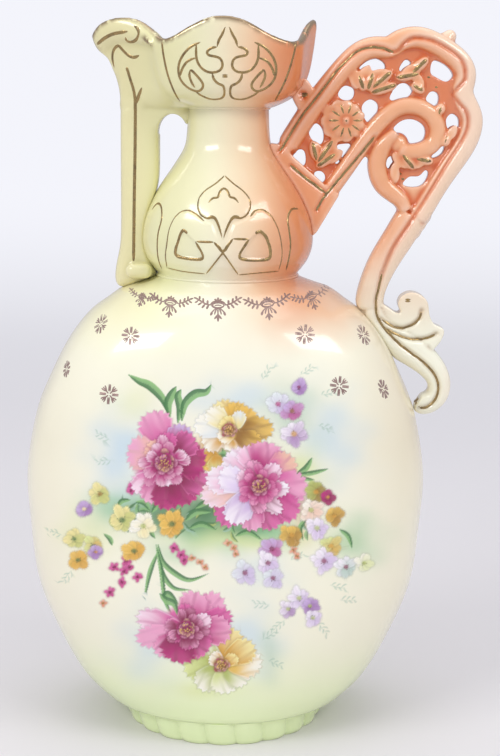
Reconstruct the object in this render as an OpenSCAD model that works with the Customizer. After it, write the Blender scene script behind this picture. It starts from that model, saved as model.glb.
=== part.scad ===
// Porcelain ewer: a flattened flask on a fluted foot, an onion-shaped neck, a lobed cup with
// a beak, an upright strut under the beak and a pierced scroll handle.
// Millimetres. The origin is the middle of the standing face, the handle lies towards +X,
// the beak towards -X and the painted front towards -Y.

/* [Foot] */
// Height of the foot
foot_h = 10.5; // [8:0.5:13]
// Width of the foot where it stands
foot_w = 86.6; // [80:0.2:90]
// How far the foot flares outwards from bottom to top
foot_flare = 2; // [1:0.25:3]
// Thickness of the foot's ring, from inside to outside
foot_ring_t = 9; // [7:0.5:14]
// Number of flutes round the foot
foot_flutes = 22; // [12:1:30]
// Depth of one flute
flute_depth = 1.2; // [0.6:0.1:2]
// Radius of one flute
flute_r = 7; // [5:0.5:12]

/* [Flask] */
// Width of the flask at its widest
flask_w = 171.4; // [160:0.2:185]
// Depth of the flask from front to back
flask_d = 100; // [96:0.5:115]
// Height of the flask from the foot to the neck
flask_h = 185.5; // [175:0.5:200]
// Thickness of the wall of the flask and of the neck
wall = 3.8; // [2.5:0.1:5]

/* [Neck] */
// Height of the neck from the flask to the cup
neck_h = 70; // [64:0.5:76]
// Width of the neck at the bulb
bulb_w = 72.6; // [68:0.2:76]
// How far the ornament stands proud of the bulb
relief_t = 0.9; // [0.5:0.1:1.5]

/* [Cup] */
// Height of the cup from the neck to its highest lobe
cup_h = 36; // [32:0.5:42]
// Width of the cup across its corners
cup_w = 73.6; // [68:0.2:80]
// How far the beak reaches past the cup
beak_reach = 21.7; // [16:0.1:26]
// Thickness of the cup's wall
cup_wall = 3; // [2:0.1:4]

/* [Strut] */
// How far the outer edge of the strut stands past the side of the bulb
strut_past = 8.7; // [7:0.1:10.5]
// Width of the strut, seen from the front
strut_w = 16; // [13:0.5:18]
// Thickness of the strut, seen from the side
strut_t = 14.4; // [10:0.2:18]

/* [Handle] */
// How far the top of the handle reaches past the side of the bulb
handle_out = 69.7; // [64:0.1:75]
// How far the same reach, taken at the tail, goes past the side of the flask
handle_past = 20.3; // [17:0.1:24]
// How far the handle's highest point lies below the cup's highest lobe
handle_short = 2; // [1:0.25:4]
// Width of the outer rail
rail_w = 8.8; // [7:0.1:9.2]
// Width of the inner rail and of its ring
inner_rail_w = 7; // [6:0.1:7.5]
// Width of the C-shaped scroll
scroll_w = 7.4; // [6:0.1:7.6]
// Thickness of the rails from front to back
rail_t = 11; // [8:0.5:14]
// Width of the stem
stem_w = 13; // [11:0.2:13.4]
// Thickness of the pierced panel
fret_t = 5; // [3.5:0.25:7]
// Width of the flower in the panel
flower_w = 17.6; // [14:0.2:18]
// Number of petals
petals = 10; // [6:1:14]
// How far flower and leaves stand proud of the panel
sprig_t = 1.8; // [1:0.1:2.5]
// Thickness of the acanthus leaf and of the bridge
leaf_t = 9; // [6:0.5:12]
// Width of the bud on the corner of the handle
bud_w = 5; // [4:0.2:6]

/* [Hidden] */
$fn = 72;

// Clearance between two pieces that only touch, and the overrun of every cut
gap = 0.15;
overrun = 1;

neck_z = foot_h + flask_h;
cup_z = neck_z + neck_h;
strut_reach = bulb_w / 2 + strut_past;

// The handle's tail comes back to the flask this share of the flask's height below the neck
drop_share = 0.3342;
handle_z = neck_z - drop_share * flask_h;
handle_rise = cup_z + cup_h - handle_short - handle_z;
tail_out = flask_w / 2 + handle_past - bulb_w / 2;

// Curves

function held(pts, i) = pts[max(0, min(len(pts) - 1, i))];
function bend(a, b, c, d, t) =
    b + (c - a) * t / 2 + (2 * a - 5 * b + 4 * c - d) * t * t / 2
    + (3 * b - a - 3 * c + d) * t * t * t / 2;
function spline(pts, steps) = [
    for (i = [0:len(pts) - 2], k = [0:steps - 1])
        bend(held(pts, i - 1), pts[i], pts[i + 1], held(pts, i + 2), k / steps),
    pts[len(pts) - 1]
];
function ring_of(pts, i) = pts[(i + len(pts)) % len(pts)];
function closed_spline(pts, steps) = [
    for (i = [0:len(pts) - 1], k = [0:steps - 1])
        bend(ring_of(pts, i - 1), pts[i], ring_of(pts, i + 1), ring_of(pts, i + 2), k / steps)
];
function column(rows, k, scale = 1) = [for (row = rows) [row[0], row[k] * scale]];
function unit(v) = v / norm(v);
function power(x, p) = sign(x) * pow(abs(x), p);
function reversed(list) = [for (i = [len(list) - 1:-1:0]) list[i]];
function ease(t) = let (c = max(0, min(1, t))) c * c * (3 - 2 * c);

// A solid through rings of points, which run anticlockwise seen from the end they grow to.
// With hollow set, the last ring joins the first and the solid is a tube.
module loft(rings, hollow = false) {
    m = len(rings[0]);
    n = len(rings);
    walls = [
        for (i = [0:n - (hollow ? 1 : 2)], j = [0:m - 1])
            let (
                a = i * m + j,
                b = i * m + (j + 1) % m,
                c = (i + 1) % n * m + j,
                d = (i + 1) % n * m + (j + 1) % m
            )
            each [[a, c, b], [b, c, d]]
    ];
    ends = hollow ? [] : [
        [for (j = [0:m - 1]) j],
        [for (j = [m - 1:-1:0]) (n - 1) * m + j]
    ];
    polyhedron([for (ring = rings) each ring], concat(ends, walls));
}

// Flask: rows of height share, half width share, half depth share and squareness

flask_shares = [
    [0, 0.612, 0.91, 2], [0.06, 0.737, 0.95, 2.15], [0.16, 0.85, 0.985, 2.4],
    [0.29, 0.952, 1, 2.7], [0.43, 0.988, 1, 2.8], [0.55, 1, 1, 2.8], [0.685, 0.949, 1, 2.8],
    [0.776, 0.872, 0.985, 2.7], [0.854, 0.785, 0.94, 2.5], [0.912, 0.688, 0.86, 2.3],
    [0.946, 0.592, 0.77, 2.15], [0.97, 0.518, 0.69, 2], [0.984, 0.43, 0.635, 2],
    [1, 0.35, 0.6, 2]
];
flask_rows = spline(flask_shares, 2);
flask_sides = 44;

function flask_level(z) = (z - foot_h) / flask_h;
function half_w(z) = lookup(flask_level(z), column(flask_rows, 1, flask_w / 2));
function half_d(z) = lookup(flask_level(z), column(flask_rows, 2, flask_d / 2));
function square(z) = lookup(flask_level(z), column(flask_rows, 3));
function flask_ring(z, inset) = [
    for (j = [0:flask_sides - 1])
        let (u = 360 * j / flask_sides, p = 2 / square(z))
        [(half_w(z) - inset) * power(cos(u), p), (half_d(z) - inset) * power(sin(u), p), z]
];
// Half width of the flask at a height, at a distance y from its middle plane
function flask_x(y, z) =
    half_w(z) * pow(max(0, 1 - pow(abs(y) / half_d(z), square(z))), 1 / square(z));
// Height of the shoulder above a point, found by halving the span that holds it
function shoulder_z(x, y, low, high, turns) =
    let (mid = (low + high) / 2)
    turns == 0 ? mid
    : abs(x) < flask_x(y, mid) ? shoulder_z(x, y, mid, high, turns - 1)
    : shoulder_z(x, y, low, mid, turns - 1);

module flask_body() {
    outside = [for (row = flask_rows) foot_h + row[0] * flask_h];
    floor_z = foot_h + wall;
    inside = [for (z = reversed(outside)) if (z > floor_z + wall) z];
    color("ivory")
        loft([
            for (z = outside) flask_ring(z, 0),
            for (z = inside) flask_ring(z, wall),
            flask_ring(floor_z, 2 * wall)
        ]);
}

module foot_ring() {
    foot_r = foot_w / 2;
    inner_r = foot_r - foot_ring_t;
    color("palegreen")
        difference() {
            rotate_extrude()
                polygon([
                    [inner_r, 0], [foot_r, 0], [foot_r + foot_flare, foot_h], [inner_r, foot_h]
                ]);
            for (i = [0:foot_flutes - 1])
                rotate(360 * i / foot_flutes)
                    translate([foot_r + foot_flare / 2 + flute_r - flute_depth, 0, -overrun])
                        cylinder(r = flute_r, h = foot_h + 2 * overrun);
        }
}

// Neck: rows of height share and radius share

bulb_shares = [
    [0, 0.826], [0.05, 0.88], [0.1, 0.945], [0.17, 0.992], [0.25, 1], [0.35, 0.965],
    [0.45, 0.885], [0.55, 0.775], [0.66, 0.63], [0.76, 0.515], [0.85, 0.48], [1, 0.468]
];
bulb_rows = spline(bulb_shares, 2);

function neck_r(z) = lookup((z - neck_z) / neck_h, column(bulb_rows, 1, bulb_w / 2));
function neck_line(offset) = [for (row = bulb_rows) [row[1] * bulb_w / 2 + offset, neck_z + row[0] * neck_h]];

module neck_bulb() {
    color("moccasin")
        rotate_extrude()
            polygon(concat(neck_line(0), reversed(neck_line(-wall))));
}

// The solid that the outside of the neck encloses, grown by an offset
module neck_space(offset) {
    axis = [[0, cup_z], [0, neck_z]];
    rotate_extrude()
        polygon(concat(neck_line(offset), axis));
}

// Everything drawn upright, in X and Z, and given a thickness along Y
module upright(t, y = 0) {
    translate([0, y + t / 2, 0])
        rotate([90, 0, 0])
            linear_extrude(height = t)
                children();
}

// Neck ornament: shares of the bulb's width and of the neck's height, right half of the front
spade_shares = [
    [0, 0.545], [0.09, 0.485], [0.155, 0.43], [0.185, 0.36], [0.165, 0.295], [0.11, 0.265],
    [0.055, 0.28], [0.035, 0.265], [0.05, 0.2], [0, 0.11]
];
arch_shares = [
    [0.09, 0.22], [0.18, 0.22], [0.2, 0.29], [0.265, 0.305], [0.33, 0.25], [0.385, 0.14],
    [0.395, 0.05], [0.37, 0.03], [0.11, 0.025], [0.02, 0.13]
];
arch_gap_shares = [[0.19, 0.085], [0.225, 0.195], [0.29, 0.205], [0.31, 0.085]];
strap_shares = [[0.462, 0.33], [0.495, 0.29], [0.5, 0.1], [0.475, 0.04], [0.455, 0.12], [0.45, 0.24]];

function on_neck(shares, side = 1) = [
    for (s = shares) [side * s[0] * bulb_w, neck_z + s[1] * neck_h]
];

module neck_ornament() {
    intersection() {
        difference() {
            neck_space(relief_t);
            neck_space(gap);
        }
        upright(bulb_w, -bulb_w / 2 - relief_t)
            children();
    }
}

module front_figure() {
    polygon(concat(on_neck(spade_shares), reversed(on_neck(spade_shares, -1))));
    for (side = [-1, 1])
        difference() {
            polygon(on_neck(arch_shares, side));
            polygon(on_neck(arch_gap_shares, side));
        }
}

module neck_relief_front() {
    color("wheat")
        neck_ornament()
            front_figure();
}

module neck_relief_back() {
    color("wheat")
        rotate(180)
            neck_ornament()
                front_figure();
}

module neck_relief_sides() {
    color("burlywood")
        difference() {
            for (turn = [0, 180])
                rotate(turn)
                    neck_ornament()
                        polygon(on_neck(strap_shares, turn == 0 ? 1 : -1));
            upright(rail_t + overrun)
                offset(delta = gap)
                    polygon(spots(root_shares));
        }
}

// Cup: rows of angle from the handle, radius share, rim height share and beak share
cup_shares = [
    [0, 1, 1, 0], [12, 0.94, 0.93, 0], [25, 0.95, 0.8, 0], [43, 1, 0.71, 0],
    [60, 0.91, 0.8, 0], [75, 0.845, 0.93, 0], [90, 0.83, 0.985, 0], [105, 0.845, 0.97, 0],
    [120, 0.905, 0.86, 0], [137, 0.985, 0.72, 0], [150, 1, 0.84, 0.02],
    [160, 1, 0.96, 0.19], [168, 1, 0.99, 0.52], [175, 1, 0.92, 0.86], [180, 1, 0.77, 1]
];
cup_rows = spline(cup_shares, 2);
// How far the cup has opened at each share of its height
opening_shares = [[0, 0], [0.07, 0.32], [0.15, 0.58], [0.24, 0.73], [0.4, 0.85], [0.65, 0.93], [1, 1]];
cup_levels = [0, 0.04, 0.09, 0.16, 0.27, 0.42, 0.62, 0.82, 1];
cup_sides = 72;
// Angles off the beak between which the strut's seat fades out, and the beak's hollow curve
seat_fade = [34, 16];
beak_curve = 2.2;
rim_crown = 0.8;
cup_floor = 3;

cup_foot_r = bulb_shares[len(bulb_shares) - 1][1] * bulb_w / 2;

function folded(u) = u > 180 ? 360 - u : u;
function way(u) = [cos(u), sin(u)];
function cup_row(u, k) = lookup(folded(u), column(cup_rows, k));
function rim_r(u) = cup_row(u, 1) * cup_w / 2 + cup_row(u, 3) * beak_reach;
function rim_h(u) = cup_row(u, 2) * cup_h;
function seat(u) = ease((seat_fade[0] - 180 + folded(u)) / (seat_fade[0] - seat_fade[1]));
function opening(u, s) =
    lookup(s, opening_shares) * (1 - seat(u)) + pow(s, beak_curve) * seat(u);
function inner_opening(u, s) = lookup(s, opening_shares) * (1 - seat(u)) + s * seat(u);
function cup_point(u, s) =
    let (
        low = cup_foot_r * way(u) - [(strut_reach - cup_foot_r) * seat(u), 0],
        flat = low + (rim_r(u) * way(u) - low) * opening(u, s)
    )
    [flat[0], flat[1], cup_z + s * rim_h(u)];
function cup_inner_point(u, s) =
    let (
        low = (cup_foot_r - wall) * way(u),
        flat = low + ((rim_r(u) - cup_wall) * way(u) - low) * inner_opening(u, s)
    )
    [flat[0], flat[1], cup_z + cup_floor * (1 - s) + s * rim_h(u)];
function turn_angles() = [for (j = [0:cup_sides - 1]) 360 * j / cup_sides];

module mouth_cup() {
    color("sandybrown")
        loft([
            for (s = cup_levels) [for (u = turn_angles()) cup_point(u, s)],
            [for (u = turn_angles())
                (cup_point(u, 1) + cup_inner_point(u, 1)) / 2 + [0, 0, rim_crown]],
            for (s = reversed(cup_levels)) [for (u = turn_angles()) cup_inner_point(u, s)],
            [for (u = turn_angles())
                [(cup_foot_r - wall) * cos(u), (cup_foot_r - wall) * sin(u), cup_z]]
        ], hollow = true);
}

// A low pad that lies on the cup: rows along it hold its angle and its lower and upper level
pad_lanes = 6;
function cup_normal(u, s) =
    let (du = 2, ds = 0.02)
    unit(cross(
        cup_point(u + du, s) - cup_point(u - du, s),
        cup_point(u, min(1, s + ds)) - cup_point(u, s - ds)
    ));
module cup_pad(rows, t) {
    loft([
        for (row = rows) [
            for (k = [0:pad_lanes])
                let (s = row[1] + (row[2] - row[1]) * k / pad_lanes)
                cup_point(row[0], s) + cup_normal(row[0], s) * (2 * gap + t * sin(180 * k / pad_lanes)),
            for (k = [pad_lanes:-1:0])
                let (s = row[1] + (row[2] - row[1]) * k / pad_lanes)
                cup_point(row[0], s) + cup_normal(row[0], s) * gap * 1.5
        ]
    ]);
}

// Cartouche on the cup: rows of angle off its middle, lower and upper level
cartouche_shares = [
    [-34, 0.34, 0.5], [-30, 0.24, 0.72], [-24, 0.17, 0.66], [-17, 0.13, 0.56], [-10, 0.2, 0.62],
    [-5, 0.24, 0.76], [0, 0.14, 0.9], [5, 0.24, 0.76], [10, 0.2, 0.62], [17, 0.13, 0.56],
    [24, 0.17, 0.66], [30, 0.24, 0.72], [34, 0.34, 0.5]
];
module cartouche(middle) {
    cup_pad([for (row = cartouche_shares) [middle + row[0], row[1], row[2]]], relief_t);
}

module mouth_relief_front() {
    color("wheat")
        cartouche(270);
}

module mouth_relief_back() {
    color("wheat")
        cartouche(90);
}

lip_t = 1.8;
lip_shares = [
    [145, 0.86, 0.92], [150, 0.82, 0.98], [155, 0.78, 0.98], [160, 0.75, 0.98],
    [165, 0.74, 0.98], [170, 0.73, 0.98], [175, 0.72, 0.98], [180, 0.7, 0.98]
];
module spout_lip() {
    far_side = [for (row = reversed(lip_shares)) [360 - row[0], row[1], row[2]]];
    near_side = [for (i = [0:len(lip_shares) - 2]) lip_shares[i]];
    color("khaki")
        cup_pad(concat(near_side, far_side), lip_t);
}

// Strut

strut_sides = 20;
strut_square = 3.4;
strut_flare = 4;
// The web that closes the top of the opening between strut and neck: its level and its reach
web_share = 0.87;
web_reach_share = 0.3;
strut_levels = [0.07, 0.13, 0.2, 0.3, 0.4, 0.5, 0.6, 0.72, 0.82, 0.87, 0.9, 0.93, 0.96, 1];

function strut_flat(z, j) =
    let (
        u = 360 * j / strut_sides,
        p = 2 / strut_square,
        level = (z - neck_z) / neck_h,
        out = strut_flare * pow(max(0, 1 - level * 4), 2),
        web = strut_reach * web_reach_share * pow(max(0, (level - web_share) / (1 - web_share)), 0.5),
        y = strut_t / 2 * power(sin(u), p),
        x = strut_w / 2 - strut_reach + (strut_w / 2 + (cos(u) < 0 ? out : web)) * power(cos(u), p),
        clear = neck_r(z) + gap
    )
    [min(x, -sqrt(max(0, clear * clear - y * y))), y];

module spout_strut() {
    levels = [for (s = strut_levels) neck_z + s * neck_h];
    low = [for (j = [0:strut_sides - 1])
        let (p = strut_flat(neck_z, j))
        [p[0], p[1], gap + shoulder_z(p[0], p[1], neck_z - flask_h / 4, neck_z, 14)]];
    color("lemonchiffon")
        loft([
            low,
            for (z = levels) [for (j = [0:strut_sides - 1])
                let (p = strut_flat(z, j))
                [p[0], p[1], z]]
        ]);
}

knuckle_r = 3;
knuckle_l = 5;
module strut_knuckle() {
    x = strut_w / 2 - strut_reach;
    y = strut_t / 2 + knuckle_r + gap;
    inner_x = x + knuckle_l / 2 + knuckle_r;
    z = knuckle_r + gap + shoulder_z(inner_x, y - knuckle_r, neck_z - flask_h / 4, neck_z, 14);
    color("khaki")
        for (side = [-1, 1])
            translate([x, side * y, z]) {
                rotate([0, 90, 0])
                    cylinder(r = knuckle_r, h = knuckle_l, center = true);
                for (end = [-1, 1])
                    translate([end * knuckle_l / 2, 0, 0])
                        sphere(r = knuckle_r);
            }
}

// Handle: every outline is in shares of its reach and of its rise

// The share at the side of the bulb. Beside it the handle follows the bulb, higher up the cup,
// and the reach from there runs from that of the tail to that of the top.
hub_share = 0.3595;
cup_hub_share = 0.9864;
tail_level_share = 0.3;
stem_level_share = 0.5;
root_level_share = 0.58;
cup_level_share = 0.67;
function hub(level) = lookup(level, [
    [root_level_share, bulb_w / 2], [cup_level_share, cup_hub_share * cup_w / 2]
]);
function reach_out(level) = lookup(level, [
    [tail_level_share, tail_out], [stem_level_share, handle_out]
]);
function spot(s) = [
    hub(s[1]) + (s[0] - hub_share) / (1 - hub_share) * reach_out(s[1]),
    handle_z + s[1] * handle_rise
];
function spots(shares) = [for (s = shares) spot(s)];

// Rows of reach share, rise share and width share
outer_shares = [
    [0.248, 0.694, 1], [0.303, 0.753, 1], [0.365, 0.814, 1], [0.435, 0.873, 1],
    [0.495, 0.918, 1], [0.54, 0.94, 1], [0.585, 0.948, 1], [0.628, 0.947, 1],
    [0.655, 0.954, 1], [0.682, 0.966, 1], [0.726, 0.973, 1], [0.765, 0.971, 1],
    [0.808, 0.961, 1], [0.862, 0.941, 1], [0.91, 0.916, 1], [0.933, 0.889, 1],
    [0.929, 0.863, 1], [0.923, 0.841, 1], [0.936, 0.816, 1], [0.957, 0.79, 1],
    [0.966, 0.763, 1], [0.951, 0.722, 1], [0.917, 0.683, 1], [0.865, 0.633, 0.98],
    [0.827, 0.592, 0.95], [0.793, 0.549, 0.91], [0.766, 0.518, 0.88]
];
inner_shares = [
    [0.426, 0.594, 1], [0.458, 0.624, 1], [0.507, 0.671, 1], [0.56, 0.724, 1],
    [0.614, 0.767, 1], [0.658, 0.792, 1], [0.706, 0.804, 1], [0.758, 0.801, 1],
    [0.803, 0.784, 1], [0.828, 0.758, 1], [0.83, 0.729, 1], [0.808, 0.706, 1],
    [0.766, 0.692, 1], [0.718, 0.69, 0.95], [0.692, 0.699, 0.9]
];
scroll_shares = [
    [0.672, 0.737, 0.6], [0.638, 0.716, 0.85], [0.615, 0.692, 1], [0.602, 0.66, 1],
    [0.612, 0.625, 1], [0.634, 0.602, 1], [0.668, 0.584, 0.95], [0.7, 0.566, 0.85],
    [0.717, 0.542, 0.72]
];
stem_shares = [
    [0.745, 0.528, 1], [0.715, 0.494, 1], [0.69, 0.466, 0.98], [0.641, 0.413, 0.95],
    [0.608, 0.365, 0.9], [0.59, 0.325, 0.88], [0.585, 0.287, 0.95]
];
tail_shares = [
    [0.585, 0.287, 0.95], [0.6, 0.259, 1], [0.63, 0.235, 1], [0.684, 0.209, 1.03],
    [0.746, 0.186, 1.05], [0.804, 0.159, 0.95], [0.851, 0.127, 0.82], [0.873, 0.096, 0.74],
    [0.867, 0.064, 0.72], [0.836, 0.043, 0.7], [0.8, 0.038, 0.66], [0.785, 0.042, 0.4]
];
function wide_spots(shares, w) = [for (s = shares) [spot(s)[0], spot(s)[1], s[2] * w]];
outer_path = spline(wide_spots(outer_shares, rail_w), 2);
inner_path = spline(wide_spots(inner_shares, inner_rail_w), 3);
scroll_path = spline(wide_spots(scroll_shares, scroll_w), 3);
stem_path = spline(wide_spots(stem_shares, stem_w), 2);
tail_path = spline(wide_spots(tail_shares, stem_w), 2);

function flat(p) = [p[0], p[1]];
function along(path, i) = unit(flat(held(path, i + 1)) - flat(held(path, i - 1)));
function across(path, i) = let (t = along(path, i)) [t[1], -t[0]];
function edge(path, side) = [
    for (i = [0:len(path) - 1]) flat(path[i]) + across(path, i) * side * path[i][2] / 2
];

// Outline of a rail cut across: sides as high as the panel is thick, and a rounded crown
function rail_section(w, t) =
    let (
        low = fret_t / 2,
        crown = t / 2,
        half = [
            [1, -low], [1, low], [0.84, low + (crown - low) * 0.6], [0.45, crown],
            [-0.45, crown], [-0.84, low + (crown - low) * 0.6]
        ]
    )
    [
        for (p = half) [p[0] * w / 2, p[1]],
        for (p = half) [-p[0] * w / 2, -p[1]]
    ];

// A point is moved outwards where it would lie inside the flask
function off_flask(p) =
    p[2] > neck_z ? p : [max(p[0], flask_x(p[1], p[2]) + gap), p[1], p[2]];

// A rail of thickness t along a path, whose rows hold its width
module rail(path, t) {
    loft([
        for (i = [len(path) - 1:-1:0]) [
            for (q = rail_section(path[i][2], t))
                let (p = flat(path[i]) + across(path, i) * q[0])
                off_flask([p[0], q[1], p[1]])
        ]
    ]);
}

module footprint(path) {
    polygon(concat(edge(path, 1), reversed(edge(path, -1))));
}

module handle_outer_rail() {
    color("lightsalmon")
        rail(outer_path, rail_t);
}

module handle_inner_rail() {
    color("lightsalmon")
        rail(inner_path, rail_t);
}

module handle_c_scroll() {
    color("salmon")
        rail(scroll_path, rail_t);
}

module handle_stem() {
    color("peachpuff")
        rail(stem_path, rail_t);
}

module handle_tail() {
    color("beige")
        rail(tail_path, rail_t);
}

root_shares = [
    [0.16, 0.71], [0.24, 0.703], [0.278, 0.673], [0.398, 0.606], [0.456, 0.581],
    [0.372, 0.487], [0.29, 0.43]
];
module handle_root() {
    color("coral")
        difference() {
            upright(rail_t)
                polygon(spots(root_shares));
            neck_space(gap);
            upright(rail_t + overrun) {
                footprint(outer_path);
                footprint(inner_path);
            }
        }
}

bridge_shares = [
    [0.3, 0.868], [0.33, 0.862], [0.355, 0.826], [0.338, 0.795], [0.303, 0.79], [0.272, 0.83]
];
module handle_bridge() {
    color("coral")
        difference() {
            upright(leaf_t)
                polygon(closed_spline(spots(bridge_shares), 4));
            upright(leaf_t + overrun)
                footprint(outer_path);
            cup_block();
        }
}

// The cup as a closed block, for cutting what leans on it
module cup_block() {
    loft([for (s = cup_levels) [for (u = turn_angles()) cup_point(u, s)]]);
}

bud_share = [0.87, 0.977];
module handle_knob() {
    color("coral")
        difference() {
            translate([spot(bud_share)[0], 0, spot(bud_share)[1]])
                sphere(d = bud_w);
            upright(rail_t + overrun)
                footprint(outer_path);
        }
}

// Pierced panel

fret_turn_shares = [
    [0.735, 0.557], [0.705, 0.567], [0.66, 0.588], [0.615, 0.625], [0.605, 0.66],
    [0.575, 0.672], [0.52, 0.69]
];
hole_shares = [
    [[0.52, 0.892], [0.54, 0.914], [0.585, 0.922], [0.624, 0.908], [0.62, 0.882], [0.573, 0.89]],
    [[0.675, 0.892], [0.7, 0.92], [0.726, 0.91], [0.71, 0.885]],
    [[0.797, 0.887], [0.806, 0.918], [0.855, 0.908], [0.888, 0.882], [0.862, 0.864], [0.82, 0.875]],
    [[0.444, 0.832], [0.47, 0.854], [0.508, 0.845], [0.503, 0.82], [0.464, 0.817]],
    [[0.536, 0.8], [0.568, 0.821], [0.602, 0.808], [0.595, 0.78], [0.562, 0.76]],
    [[0.642, 0.822], [0.668, 0.854], [0.705, 0.862], [0.733, 0.842], [0.712, 0.824], [0.668, 0.816]],
    [[0.782, 0.822], [0.802, 0.842], [0.832, 0.836], [0.832, 0.81], [0.802, 0.803]],
    [[0.862, 0.77], [0.884, 0.788], [0.914, 0.775], [0.912, 0.745], [0.878, 0.739]],
    [[0.8, 0.678], [0.834, 0.706], [0.864, 0.71], [0.854, 0.686], [0.82, 0.674]],
    [[0.635, 0.662], [0.656, 0.682], [0.687, 0.658], [0.677, 0.636], [0.648, 0.643]],
    [[0.702, 0.607], [0.726, 0.628], [0.765, 0.63], [0.79, 0.646], [0.805, 0.636], [0.785, 0.608],
        [0.745, 0.6]],
    [[0.335, 0.733], [0.362, 0.76], [0.39, 0.745], [0.395, 0.716], [0.372, 0.703]],
    [[0.428, 0.7], [0.465, 0.709], [0.505, 0.707], [0.485, 0.678], [0.445, 0.655], [0.43, 0.675]],
    [[0.264, 0.664], [0.285, 0.69], [0.32, 0.692], [0.328, 0.66], [0.305, 0.641], [0.278, 0.644]]
];
ring_hole_shares = [
    [0.652, 0.735], [0.67, 0.757], [0.703, 0.771], [0.745, 0.771], [0.782, 0.755], [0.787, 0.73],
    [0.768, 0.712], [0.732, 0.708], [0.703, 0.714], [0.692, 0.731]
];
eyelet_share = [0.378, 0.623];
eyelet_r = 3;

module fret_outline() {
    polygon(concat(
        [for (i = [1:len(outer_path) - 4]) flat(outer_path[i])],
        spots(fret_turn_shares),
        spots([inner_shares[1], root_shares[3], root_shares[2]])
    ));
}

module fret_panel() {
    color("tomato")
        difference() {
            upright(fret_t)
                fret_outline();
            upright(fret_t + overrun) {
                footprint(outer_path);
                footprint(inner_path);
                footprint(scroll_path);
            }
            upright(fret_t + overrun) {
                for (hole = hole_shares)
                    polygon(closed_spline(spots(hole), 3));
                polygon(closed_spline(spots(ring_hole_shares), 3));
                translate(spot(eyelet_share))
                    circle(r = eyelet_r);
            }
        }
}

// The same sprig on the front and on the back of the panel
module both_faces(t) {
    for (side = [-1, 1])
        upright(t, side * (fret_t + t) / 2)
            children();
}

flower_share = [0.463, 0.765];
petal_share = 0.3;
module fret_flower() {
    centre = spot(flower_share);
    petal_r = flower_w * petal_share / 2;
    color("goldenrod") {
        both_faces(sprig_t)
            translate(centre)
                for (i = [0:petals - 1])
                    rotate(360 * i / petals)
                        translate([flower_w / 2 - petal_r, 0])
                            circle(r = petal_r);
        both_faces(sprig_t)
            translate(centre)
                circle(r = flower_w / 2 - petal_r);
    }
}

// Leaves of the sprays: place share, direction and length as a share of the flower's width
leaf_shares = [
    [[0.515, 0.845], 100, 0.51], [[0.52, 0.85], 62, 0.57], [[0.53, 0.848], 30, 0.8],
    [[0.57, 0.845], 10, 0.45], [[0.385, 0.655], 105, 0.57], [[0.39, 0.66], 60, 0.62],
    [[0.4, 0.66], 35, 0.51], [[0.68, 0.868], 40, 0.57], [[0.73, 0.87], 75, 0.45],
    [[0.77, 0.845], 120, 0.45], [[0.66, 0.685], -40, 0.51], [[0.7, 0.66], 5, 0.57],
    [[0.665, 0.66], -80, 0.45], [[0.87, 0.72], 60, 0.4]
];
leaf_slim = 2.6;
module leaf_flat(length) {
    r = length * leaf_slim / 4;
    rise = sqrt(r * r - length * length / 4);
    intersection() {
        translate([length / 2, rise])
            circle(r = r);
        translate([length / 2, -rise])
            circle(r = r);
    }
}
module fret_leaves() {
    color("darkgoldenrod")
        difference() {
            both_faces(sprig_t)
                for (leaf = leaf_shares)
                    translate(spot(leaf[0]))
                        rotate(leaf[1])
                            leaf_flat(leaf[2] * flower_w);
            upright(rail_t) {
                footprint(outer_path);
                footprint(inner_path);
                footprint(scroll_path);
                translate(spot(flower_share))
                    circle(d = flower_w + gap);
            }
        }
}

// Acanthus leaf with its curl, outside the stem and the tail
acanthus_shares = [
    [0.625, 0.3], [0.66, 0.292], [0.69, 0.279], [0.712, 0.281], [0.7, 0.3],
    [0.71, 0.32], [0.745, 0.332], [0.785, 0.326], [0.813, 0.307], [0.821, 0.275],
    [0.84, 0.251], [0.875, 0.24], [0.88, 0.225], [0.856, 0.196], [0.8, 0.17], [0.69, 0.205],
    [0.61, 0.25]
];
module handle_leaf() {
    color("ivory")
        difference() {
            upright(leaf_t)
                polygon(closed_spline(spots(acanthus_shares), 3));
            upright(leaf_t + overrun) {
                footprint(stem_path);
                footprint(tail_path);
            }
        }
}

foot_ring();
flask_body();
neck_bulb();
neck_relief_front();
neck_relief_back();
neck_relief_sides();
mouth_cup();
mouth_relief_front();
mouth_relief_back();
spout_lip();
spout_strut();
strut_knuckle();
handle_root();
handle_bridge();
handle_outer_rail();
handle_inner_rail();
handle_c_scroll();
handle_knob();
fret_panel();
fret_flower();
fret_leaves();
handle_stem();
handle_leaf();
handle_tail();
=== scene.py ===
import math

import bpy
import numpy as np
from mathutils import Matrix, Vector
from mathutils.bvhtree import BVHTree


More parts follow.
